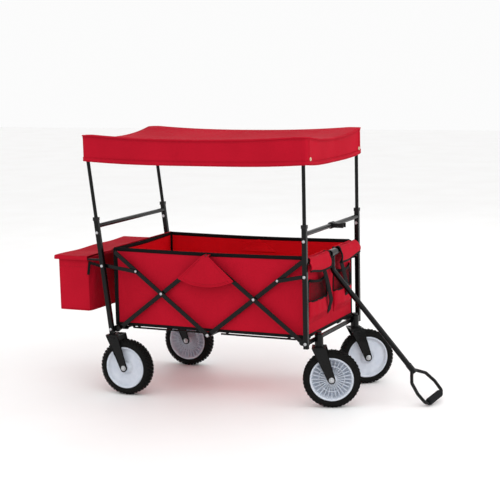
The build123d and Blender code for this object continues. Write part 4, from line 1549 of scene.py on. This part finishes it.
# ------------------------------------------------------------------ canopy ----
@dataclass
class Canopy:
    """One curved sheet stretched over four pole tops, with a skirt, hems and corner eyelets."""

    side_sag: float = 0.013
    end_sag: float = 0.019
    corner: float = 0.016
    skirt: float = 0.094
    cloth: float = 0.0016
    fold_travel: float = 0.482
    plateau: float = 0.060
    around: int = 360
    top_rings: int = 26
    skirt_rings: int = 16

    def __post_init__(self) -> None:
        """Read the canopy's place from its CAD node and the poles."""
        self.low, self.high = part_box("canopy_cover")
        low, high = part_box("rear_pole_near")
        self.rear_pole = low.x + (high.y - low.y) / 2
        self.front_pole = middle_x("front_pole_near")
        self.pole_y = -(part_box("front_pole_near")[0].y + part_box("front_pole_near")[1].y) / 2
        self.centre = (self.low + self.high) / 2
        self.half_x = (self.high.x - self.low.x) / 2
        self.half_y = (self.high.y - self.low.y) / 2
        straight_x, straight_y = self.half_x - self.corner, self.half_y - self.corner
        whole = 4 * (straight_x + straight_y) + 2 * math.pi * self.corner
        self.start = straight_x / whole

    def rim(self, share: float) -> tuple[float, float, float, float]:
        """A point of the plan's rounded outline.

        Args:
            share: 0 to 1 round the outline.

        Returns:
            X and Y from the middle, and the outward normal.
        """
        straight_x, straight_y = 2 * (self.half_x - self.corner), 2 * (self.half_y - self.corner)
        arc = math.pi / 2 * self.corner
        whole = 2 * (straight_x + straight_y) + 4 * arc
        s = share * whole
        runs = ((straight_x, 0), (straight_y, 1), (straight_x, 2), (straight_y, 3))
        for length, k in runs:
            turn = math.pi / 2 * k
            if s <= length:
                bx, by = s - length / 2, -(self.half_y if k % 2 == 0 else self.half_x)
                nx, ny = 0.0, -1.0
                return self.spin(bx, by, nx, ny, turn)
            s -= length
            if s <= arc:
                angle = s / self.corner
                half_a = self.half_x if k % 2 == 0 else self.half_y
                half_b = self.half_y if k % 2 == 0 else self.half_x
                cx, cy = half_a - self.corner, -(half_b - self.corner)
                nx, ny = math.sin(angle), -math.cos(angle)
                return self.spin(cx + self.corner * nx, cy + self.corner * ny, nx, ny, turn)
            s -= arc
        return self.rim(0.0)

    @staticmethod
    def spin(x: float, y: float, nx: float, ny: float, turn: float
             ) -> tuple[float, float, float, float]:
        """Turn a point and its normal about the middle."""
        c, s = math.cos(turn), math.sin(turn)
        return (x * c - y * s, x * s + y * c, nx * c - ny * s, nx * s + ny * c)

    def height(self, x: float, y: float) -> float:
        """Height of the sheet over a place in plan: highest at the poles, slack between.

        Args:
            x: X in metres.
            y: Y in metres.

        Returns:
            The size in metres.
        """
        span = self.front_pole - self.rear_pole
        a = abs(2 * (x - self.rear_pole) / span - 1) * span / (span - self.plateau)
        b = abs(y) / (self.pole_y - 0.012)
        along = max(0.0, 1 - a ** 2.3)
        across = max(0.0, 1 - b ** 2.3)
        rear = 1.15 if x < self.centre.x else 1.0
        return self.high.z - self.side_sag * along - self.end_sag * rear * across

    def build(self) -> None:
        """Build and dress the canopy, its seams, hem and eyelets."""
        points, uvs = [], []
        rims = [self.rim((i / self.around + self.start) % 1.0) for i in range(self.around)]
        core = self.half_x - self.half_y
        for k in range(self.top_rings + 1):
            t = k / self.top_rings
            for x, y, _, _ in rims:
                cx = max(-core, min(core, x))
                px, py = cx + (x - cx) * t, y * t
                gx, gy = self.centre.x + px, py
                drop = 0.0035 * smoothstep((t - 0.985) / 0.015)
                points.append((gx, gy, self.height(gx, gy) - drop))
                uvs.append((gx, gy))
        for k in range(1, self.skirt_rings + 1):
            t = k / self.skirt_rings
            for i, (x, y, nx, ny) in enumerate(rims):
                gx, gy = self.centre.x + x, y
                top = self.height(gx, gy) - 0.0035
                along = abs(x) / self.half_x if abs(ny) > abs(nx) else abs(y) / self.half_y
                middle = 1 - along ** 3
                bottom = self.high.z - self.skirt - 0.011 * middle
                wave = 0.0022 * math.sin(12.0 * x + 9.0 * y) * t * smoothstep(middle * 1.5)
                tuck = -0.003 * math.sin(math.pi * t) * smoothstep(middle * 1.5)
                offset = tuck + wave - 0.0006
                points.append((gx + nx * offset, gy + ny * offset, top + (bottom - top) * t))
                uvs.append((gx + nx * t * self.skirt, gy + ny * t * self.skirt))
        rows = self.top_rings + self.skirt_rings
        sheet = new_object("canopy_sheet", points, ring_faces(rows, self.around), uvs)
        weld(sheet)
        upward = sum(f.normal.z * f.area for f in sheet.data.polygons)
        if upward < 0:
            sheet.data.flip_normals()
        sheet = thicken(sheet, self.cloth, -1)
        finish_piece(sheet, Wear.RED, "rear_frame")
        self.fold(sheet)
        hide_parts("canopy_cover")
        self.build_seams(points)
        self.build_eyelets()

    def fold(self, obj: bpy.types.Object) -> None:
        """Give a canopy piece its own copy of its mesh."""
        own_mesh(obj)

    def ring(self, points: Sequence, row: int, lift: float, drop: float = 0.0) -> list[Point]:
        """Points round one ring of the sheet, moved out by a lift.

        Args:
            points: the sheet's points, ring after ring.
            row: which ring.
            lift: how far out, in metres.
            drop: how far down, in metres.

        Returns:
            The points.
        """
        line = []
        for i in range(self.around + 1):
            x, y, z = points[row * self.around + i % self.around]
            _, _, nx, ny = self.rim((i / self.around + self.start) % 1.0)
            line.append((x + nx * lift, y + ny * lift, z - drop))
        return line

    def build_seams(self, points: Sequence) -> None:
        """Build the welt round the top, the hem, the corner seams and their stitches.

        Args:
            points: the sheet's points, ring after ring.
        """
        last = self.top_rings + self.skirt_rings
        welt = tape("welt", self.ring(points, self.top_rings, 0.0004, -0.0002),
                    UP, 0.0045, 0.0034)
        hem = self.ring(points, last, 0.0002, 0.0)
        fold = tape("hem", [(x, y, z + 0.007) for x, y, z in hem], UP,
                    0.016, 0.0032)
        corners = []
        for sx in (-1, 1):
            for sy in (-1, 1):
                column = []
                for k in range(13):
                    row = self.top_rings + round(self.skirt_rings * k / 12)
                    target = (self.centre.x + sx * (self.half_x - 0.0002),
                              sy * (self.half_y - self.corner - 0.004))
                    near = min(range(self.around), key=lambda i: (
                        points[self.top_rings * self.around + i][0] - target[0]) ** 2 + (
                        points[self.top_rings * self.around + i][1] - target[1]) ** 2)
                    x, y, z = points[row * self.around + near]
                    column.append((x + sx * 0.0008, y, z))
                corners.append(tape("corner", column, SIDEWAYS, 0.007, 0.0026))
        seams = joined("canopy_seams", [welt, fold, *corners])
        finish_piece(seams, Wear.RED, "rear_frame")
        cloth_by_place(seams)
        self.fold(seams)
        rows = [[(x, y, z + rise) for x, y, z in self.ring(points, last, 0.0026, 0.0)]
                for rise in (0.013, 0.0025)]
        rows.append(self.ring(points, self.top_rings + 1, 0.0022, 0.001))
        sewn = stitches("canopy_stitches", rows)
        finish_piece(sewn, Wear.THREAD, "rear_frame", normals=False)
        self.fold(sewn)

    def build_eyelets(self) -> None:
        """Build the four pale eyelets near the skirt's lower corners."""
        rings = []
        for sx in (-1, 1):
            for sy in (-1, 1):
                eyelet = turned("eyelet", [(0.0028, 0.0), (0.0034, 0.0016), (0.0052, 0.0019),
                                           (0.0068, 0.0009), (0.0070, -0.0009), (0.0028, -0.0009)],
                                32)
                turn = Matrix.Rotation(-math.pi / 2 * sx, 4, "Z")
                place = Matrix.Translation((self.centre.x + sx * (self.half_x + 0.0002),
                                            sy * (self.half_y - 0.030), self.high.z - 0.077))
                eyelet.data.transform(place @ turn)
                rings.append(eyelet)
        eyelets = joined("canopy_eyelets", rings)
        finish_piece(eyelets, Wear.BRASS, "rear_frame")
        self.fold(eyelets)


# -------------------------------------------------------------------- bag ----
@dataclass
class RearBag:
    """The storage bag behind the tub: a slack lofted shell, its lid and the cloth bridge."""

    cloth: float = 0.002
    sag: float = 0.012

    def __post_init__(self) -> None:
        """Read the bag's place from its CAD nodes."""
        self.low, self.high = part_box("bag_shell")
        rod_low, rod_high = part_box("bag_rod")
        self.rod_x = rod_low.x + 0.004
        self.rod_z = (rod_low.z + rod_high.z) / 2
        self.lid_low, self.lid_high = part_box("bag_lid")
        self.back = self.low.x
        self.half = min(-self.low.y, -self.lid_low.y - 0.012)
        self.front = self.lid_high.x - 0.001
        self.top = self.rod_z + 0.004
        self.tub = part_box("tub_rear_panel")

    def build(self) -> None:
        """Build and dress the shell, the lid, the bridge and the corner straps."""
        self.build_shell()
        self.build_bridge()
        self.build_lid()
        self.build_straps()

    def outline(self, share: float, t: float) -> tuple[float, float]:
        """A point of the bag's plan at a depth.

        Args:
            share: 0 to 1 round the plan.
            t: 0 at the mouth, 1 at the base.

        Returns:
            X and Y.
        """
        draw = 0.0015 * t
        half_x = (self.front - self.back) / 2 - draw
        half_y = self.half - draw * 1.2
        centre = (self.front + self.back) / 2
        angle = 2 * math.pi * share
        power = 0.1 - 0.03 * t
        c, s = math.cos(angle), math.sin(angle)
        x = centre + math.copysign(abs(c) ** power, c) * half_x
        y = math.copysign(abs(s) ** power, s) * half_y
        hollow = -0.005 * math.sin(math.pi * t) * (1 - (y / half_y) ** 2)
        return (x + math.copysign(hollow, x - centre) * 0.6, y)

    def build_shell(self) -> None:
        """Build the lofted shell: walls that pull in between the corners over a sagging base."""
        around, depth, base = 320, 34, 14
        points, uvs = [], []
        for k in range(depth + 1):
            t = k / depth
            for i in range(around):
                x, y = self.outline(i / around, t)
                edge = abs(y) / self.half
                bottom = self.low.z + 0.003 - self.sag * 0.25 * (1 - edge ** 2)
                crease = 0.0014 * math.sin(9 * y * 10 + 4 * t) * math.sin(math.pi * t)
                points.append((x + crease * (1 if abs(y) < self.half * 0.95 else 0), y,
                               self.top + (bottom - self.top) * t))
                uvs.append((x + y, self.top + (bottom - self.top) * t))
        for k in range(1, base + 1):
            t = k / base
            for i in range(around):
                x, y = self.outline(i / around, 1.0)
                centre = (self.front + self.back) / 2
                core = max(-(self.half - 0.06), min(self.half - 0.06, y))
                px, py = centre + (x - centre) * (1 - t), core + (y - core) * (1 - t)
                edge = abs(py) / self.half
                bottom = self.low.z + 0.003 - self.sag * 0.25 * (1 - edge ** 2)
                points.append((px, py, bottom - 0.004 * smoothstep(t / 0.25)))
                uvs.append((px, py))
        rows = depth + base
        shell = new_object("bag_body", points, ring_faces(rows, around), uvs)
        weld(shell)
        centre = (self.front + self.back) / 2
        outward = sum((f.center.x - centre) * f.normal.x * f.area for f in shell.data.polygons)
        if outward < 0:
            shell.data.flip_normals()
        shell = thicken(shell, self.cloth, -1)
        finish_piece(shell, Wear.RED, "rear_frame")
        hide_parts("bag_shell")
        bands = []
        for target_x in (self.back, self.front):
            for sign in (-1, 1):
                near = min(range(around), key=lambda i: (points[i][0] - target_x) ** 2
                           + (points[i][1] - sign * self.half) ** 2)
                line = [points[k * around + near] for k in range(depth + 1)]
                bands.append(tape("corner", line, ALONG, 0.0042, 0.0042))
        base_line = [points[depth * around + i % around] for i in range(around + 1)]
        bands.append(tape("base", base_line, UP, 0.0042, 0.0042))
        welts = joined("bag_welts", bands)
        finish_piece(welts, Wear.RED, "rear_frame")
        cloth_by_place(welts)
        ring = [points[round(depth * 0.19) * around + i % around] for i in range(around + 1)]
        out = 0.0012
        row = [(x + math.copysign(out, x - centre), y + math.copysign(out, y), z)
               for x, y, z in ring]
        sewn = stitches("bag_stitches", [row])
        finish_piece(sewn, Wear.THREAD, "rear_frame", normals=False)

    def build_bridge(self) -> None:
        """Build the cloth that runs from the tub's rear edge back to the lid's hinge."""
        tub_low, tub_high = self.tub
        start = Vector((tub_low.x - 0.007, 0, tub_high.z + 0.0045))
        end = Vector((self.front + 0.0064, 0, self.lid_high.z - 0.0032))

        def place(u: float, v: float) -> Point:
            """A point of the bridge, u across and v from the tub back to the bag.

            Args:
                u: 0 to 1 along the first direction.
                v: 0 to 1 along the second direction.

            Returns:
                The point in metres.
            """
            half = 0.216 + 0.012 * v
            y = -half + 2 * half * u
            line = start.lerp(end, v)
            slack = 0.007 * math.sin(math.pi * v) + 0.003 * math.sin(math.pi * u) * v
            ripple = 0.0012 * math.sin(23 * u + 2 * v) * math.sin(math.pi * v)
            return (line.x, y, line.z - slack + ripple)

        bridge = thicken(sheet_grid("bag_bridge", 60, 20, place, (0.44, 0.1)), 0.0018)
        finish_piece(bridge, Wear.RED, "rear_frame")

    def build_lid(self) -> None:
        """Build the slack lid with its turned-down skirt."""
        low, high = self.lid_low, self.lid_high
        back, front, half = low.x + 0.004, high.x - 0.001, -low.y - 0.005
        drop = 0.009

        def place(u: float, v: float) -> Point:
            """A point of the lid; v under 0.1 or u near an end is the skirt.

            Args:
                u: 0 to 1 along the first direction.
                v: 0 to 1 along the second direction.

            Returns:
                The point in metres.
            """
            w = 2 * u - 1
            side = smoothstep((abs(w) - 0.955) / 0.02)
            edge = min(1.0, abs(w) / 0.965)
            y = math.copysign(edge * half, w) if w else 0.0
            tail = max(0.0, 1 - v / 0.09)
            x = back + (front - back) * max(0.0, (v - 0.09) / 0.91)
            fall = max(drop * max(0.0, (abs(w) - 0.965) / 0.035), drop * tail)
            sag = 0.006 * math.sin(math.pi * min(1, v)) * (1 - w ** 4)
            round_ = 0.002 * side
            lift = 0.0012 * math.sin(14 * u) * (1 - tail)
            return (x - 0.0006 * tail, y, high.z - 0.0012 - sag - round_ - fall + lift * (1 - side))

        deep = front - back + drop
        lid = thicken(sheet_grid("bag_lid_cloth", 100, 34, place, (2 * half + 2 * drop, deep)),
                      0.0018, -1)
        finish_piece(lid, Wear.RED, "bag_lid")
        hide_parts("bag_lid")
        hem = [place(0.0, 1 - i / 24) for i in range(25)] + [place(i / 60, 0.0) for i in range(61)]
        hem += [place(1.0, i / 24) for i in range(25)]
        rim = tape("bag_lid_hem", hem, UP, 0.005, 0.0036)
        finish_piece(rim, Wear.RED, "bag_lid")
        cloth_by_place(rim)
        edge = [place(i / 60, 0.0) for i in range(61)]
        rows = [[(x - 0.0012, y, z + 0.0045) for x, y, z in edge]]
        sewn = stitches("bag_lid_stitches", rows)
        finish_piece(sewn, Wear.THREAD, "bag_lid", normals=False)

    def build_straps(self) -> None:
        """Build the two straps from the posts' rivets to the bag's upper corners."""
        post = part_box("rear_post_near")
        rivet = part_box("struts_rear")
        for name, sign in SIDES:
            y_post, y_bag = post[0].y + 0.0035, self.low.y
            start = Vector((rivet[0].x - 0.003, sign * -y_post, self.rod_z - 0.021))
            turn = Vector((self.front + 0.006, sign * -(y_bag - 0.002), self.rod_z - 0.012))
            foot = Vector((self.front - 0.002, sign * -(y_bag - 0.001), self.rod_z - 0.058))
            path = [start.lerp(turn, i / 10) for i in range(10)]
            path += [turn.lerp(foot, i / 12) for i in range(13)]
            band = tape(f"bag_strap_{name}", path, UP, 0.011, 0.0024)
            finish_piece(band, Wear.TAPE, "rear_frame")


# ------------------------------------------------------------ metal details ----
@dataclass
class FrameTrim:
    """Rivet domes, handle grip and the plain CAD nodes' finishes."""

    head: float = 0.0058
    dome: float = 0.0026

    NODE_WEAR: ClassVar[dict[str, Wear]] = {
        "rivets": Wear.ZINC, "pins": Wear.ZINC, "axle": Wear.ZINC, "caps": Wear.PLASTIC,
        "clip": Wear.PLASTIC, "grip": Wear.GRIP, "tyre": Wear.TYRE, "disc": Wear.WHEEL,
        "panel": Wear.RED, "tub_side": Wear.RED, "canopy": Wear.RED, "bag_shell": Wear.RED,
        "bag_lid": Wear.RED, "board": Wear.RED,
    }

    def dress_nodes(self, nodes: dict) -> None:
        """Give every CAD node its material.

        Args:
            nodes: node names to objects.
        """
        for name, obj in nodes.items():
            wear = next((w for key, w in self.NODE_WEAR.items() if key in name), Wear.STEEL)
            material = wear.value.material()
            for slot in obj.material_slots:
                slot.material = material
            if not obj.material_slots:
                obj.data.materials.append(material)

    def build(self) -> None:
        """Build and dress the rivet domes and the grip."""
        self.build_domes()
        self.build_grip()

    def build_domes(self) -> None:
        """Dome the heads of the frame's rivets where the CAD pins end."""
        for end in ("rear", "front"):
            low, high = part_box(f"{end}_rivets")
            out = high.y - 0.0005
            heights = self.head_places(end)
            points = [(x, sign * out, z) for x, z in heights for sign in (-1, 1)]
            domes = rivet_domes(f"{end}_rivet_domes", points, self.head, self.dome)
            finish_piece(domes, Wear.ZINC, f"{end}_frame")
        low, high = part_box("foot_bar_pins_rear")
        hub_x = middle_x("hub_rod")
        top_z = high.z - RIVET_RADIUS
        centre_z = (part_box("foot_bars_rear")[0].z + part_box("foot_bars_rear")[1].z) / 2
        points = [(x, sign * (high.y - 0.0005), z)
                  for x, z in ((low.x + RIVET_RADIUS, centre_z), (hub_x, top_z))
                  for sign in (-1, 1)]
        finish_piece(rivet_domes("scissor_domes_rear", points, self.head, self.dome), Wear.ZINC,
                     "foot_bars_rear")
        low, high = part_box("foot_bar_pins_front")
        points = [((low.x + high.x) / 2, sign * (high.y - 0.0005), centre_z) for sign in (-1, 1)]
        finish_piece(rivet_domes("scissor_domes_front", points, self.head, self.dome), Wear.ZINC,
                     "foot_bars_front")
        for end, sign_x in (("rear", 1), ("front", -1)):
            low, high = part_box(f"struts_{end}")
            tip = (high.x if sign_x > 0 else low.x) - sign_x * 0.008
            points = [(tip, sign * (high.y - 0.0004), low.z + 0.008) for sign in (-1, 1)]
            domes = rivet_domes(f"strut_domes_{end}", points, 0.005, 0.0026)
            finish_piece(domes, Wear.ZINC, f"struts_{end}")
        low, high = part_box("hub_rod")
        points = [(hub_x, sign * (high.y - 0.0005), (low.z + high.z) / 2) for sign in (-1, 1)]
        finish_piece(rivet_domes("hub_domes", points, 0.0066, 0.0036), Wear.ZINC, "tip_bars_rear")

    def head_places(self, end: str) -> list[tuple[float, float]]:
        """X and Z of one end frame's three rivets.

        Args:
            end: rear or front.

        Returns:
            A pair for the foot, strut and pole rivets.
        """
        low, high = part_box(f"{end}_rivets")
        foot_z, pole_z = low.z + RIVET_RADIUS, high.z - RIVET_RADIUS
        strut_low, strut_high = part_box(f"struts_{end}")
        strut_z = strut_high.z - 0.007
        if end == "front":
            x = (low.x + high.x) / 2
            return [(x, foot_z), (x, strut_z), (x, pole_z)]
        foot_x, pole_x = high.x - RIVET_RADIUS, low.x + RIVET_RADIUS
        lean = (pole_x - foot_x) / (pole_z - foot_z)
        return [(foot_x, foot_z), (foot_x + lean * (strut_z - foot_z), strut_z), (pole_x, pole_z)]

    def build_grip(self) -> None:
        """Build the foam grip: a slightly waisted sleeve with rolled ends and finger grooves."""
        low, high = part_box("handle_grip")
        middle = (low + high) / 2
        roll = math.radians(15.0)
        over = Vector((0.756591, 0, 0.653888))  # square to the handle's tube
        axis = Vector((0, 1, 0)) * math.cos(roll) + over * math.sin(roll)
        length, radius, bore = 0.092, 0.0135, 0.0062
        outline = [(bore, -length / 2), (radius - 0.004, -length / 2)]
        for i in range(41):
            t = i / 40
            y = -length / 2 + 0.003 + (length - 0.006) * t
            waist = 0.0007 * math.sin(math.pi * t)
            groove = 0.0006 * (0.5 - 0.5 * math.cos(2 * math.pi * 9 * t))
            end = 0.0025 * (1 - smoothstep(min(t, 1 - t) / 0.05))
            outline.append((radius - end - groove - waist * 0.4, y))
        outline += [(radius - 0.004, length / 2), (bore, length / 2)]
        grip = turned("handle_grip_foam", outline, 48)
        turn = Vector((0, 1, 0)).rotation_difference(axis).to_matrix().to_4x4()
        grip.data.transform(Matrix.Translation(middle) @ turn)
        finish_piece(grip, Wear.GRIP, "pull_handle")
        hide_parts("handle_grip")


# ------------------------------------------------------------------ studio ----
@dataclass
class Studio:
    """Flat pale floor, soft lights and the camera."""

    eye: Point = (2.1028818, -4.5561639, 1.2716032)
    yaw: float = 0.436
    pitch: float = -0.1493
    roll: float = -0.022
    focal: float = 1383.5841
    sensor: float = 36.0
    width: float = 500.0

    def build(self) -> None:
        """Build the floor, the lights and the camera."""
        self.build_floor()
        self.build_lights()
        self.build_camera()

    def build_floor(self) -> None:
        """Build the floor."""
        size = 14.0
        floor = new_object("studio_floor", [(-size, -size, 0), (size, -size, 0), (size, size, 0),
                                            (-size, size, 0)], [(0, 1, 2, 3)])
        paper = StudioPaper("studio paper", "", "FFFFFF", "F7F6F5", 0.5)
        floor.data.materials.append(paper.material())

    def build_lights(self) -> None:
        """Set soft light from above, both sides and in front."""
        lamps = (("key", (1.6, -2.6, 3.4), 30.0, 2.4), ("fill", (-3.4, -2.4, 2.4), 7.0, 3.2),
                 ("front", (3.6, 0.4, 2.2), 34.0, 2.0), ("back", (-0.6, 3.4, 3.0), 14.0, 3.4))
        for name, place, power, size in lamps:
            data = bpy.data.lights.new(name, "AREA")
            data.energy = power
            data.size = size
            lamp = placed(name, data)
            lamp.location = place
            aim = Vector((-0.05, 0, 0.4)) - Vector(place)
            lamp.rotation_euler = aim.to_track_quat("-Z", "Y").to_euler()
        world = bpy.data.worlds.new("studio")
        world.use_nodes = True
        world.node_tree.nodes["Background"].inputs[0].default_value = srgb("FFFFFF")
        world.node_tree.nodes["Background"].inputs[1].default_value = 0.97
        bpy.context.scene.world = world
        bpy.context.scene.view_settings.view_transform = "Standard"

    def build_camera(self) -> None:
        """Set the camera where it sees the wagon's front and near side from a little above."""
        cy, sy, cp, sp = (math.cos(self.yaw), math.sin(self.yaw), math.cos(self.pitch),
                          math.sin(self.pitch))
        forward = Vector((-sy * cp, cy * cp, sp))
        right = Vector((cy, sy, 0))
        up = right.cross(forward)
        across = right * math.cos(self.roll) + up * math.sin(self.roll)
        upward = up * math.cos(self.roll) - right * math.sin(self.roll)
        data = bpy.data.cameras.new("camera")
        data.sensor_width = self.sensor
        data.lens = self.focal / self.width * self.sensor
        data.clip_end = 60.0
        camera = placed("camera", data)
        frame = Matrix((across, upward, -forward)).transposed()
        camera.matrix_world = Matrix.Translation(self.eye) @ frame.to_4x4()
        bpy.context.scene.camera = camera


def main() -> None:
    """Build the wagon's looks in order."""
    logging.basicConfig(level=logging.INFO, format="%(name)s: %(message)s")
    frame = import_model()
    Studio().build()
    trim = FrameTrim()
    trim.dress_nodes(frame["nodes"])
    yaws = {"near": math.radians(20.0), "far": math.radians(38.0)}
    for side in ("near", "far"):
        outward = DiscFace.RIBS_FAR if side == "near" else DiscFace.RIBS_NEAR
        Wheel("rear", side, outward, 0.0).build()
        Wheel("front", side, DiscFace.RIBS_NEAR if side == "near" else DiscFace.RIBS_FAR,
              yaws[side]).build()
        ForkTrim("rear", side, 0.0).build()
        ForkTrim("front", side, yaws[side]).build()
    Tub().build()
    FrontPanel().build()
    Canopy().build()
    RearBag().build()
    trim.build()


if __name__ == "__main__":
    main()
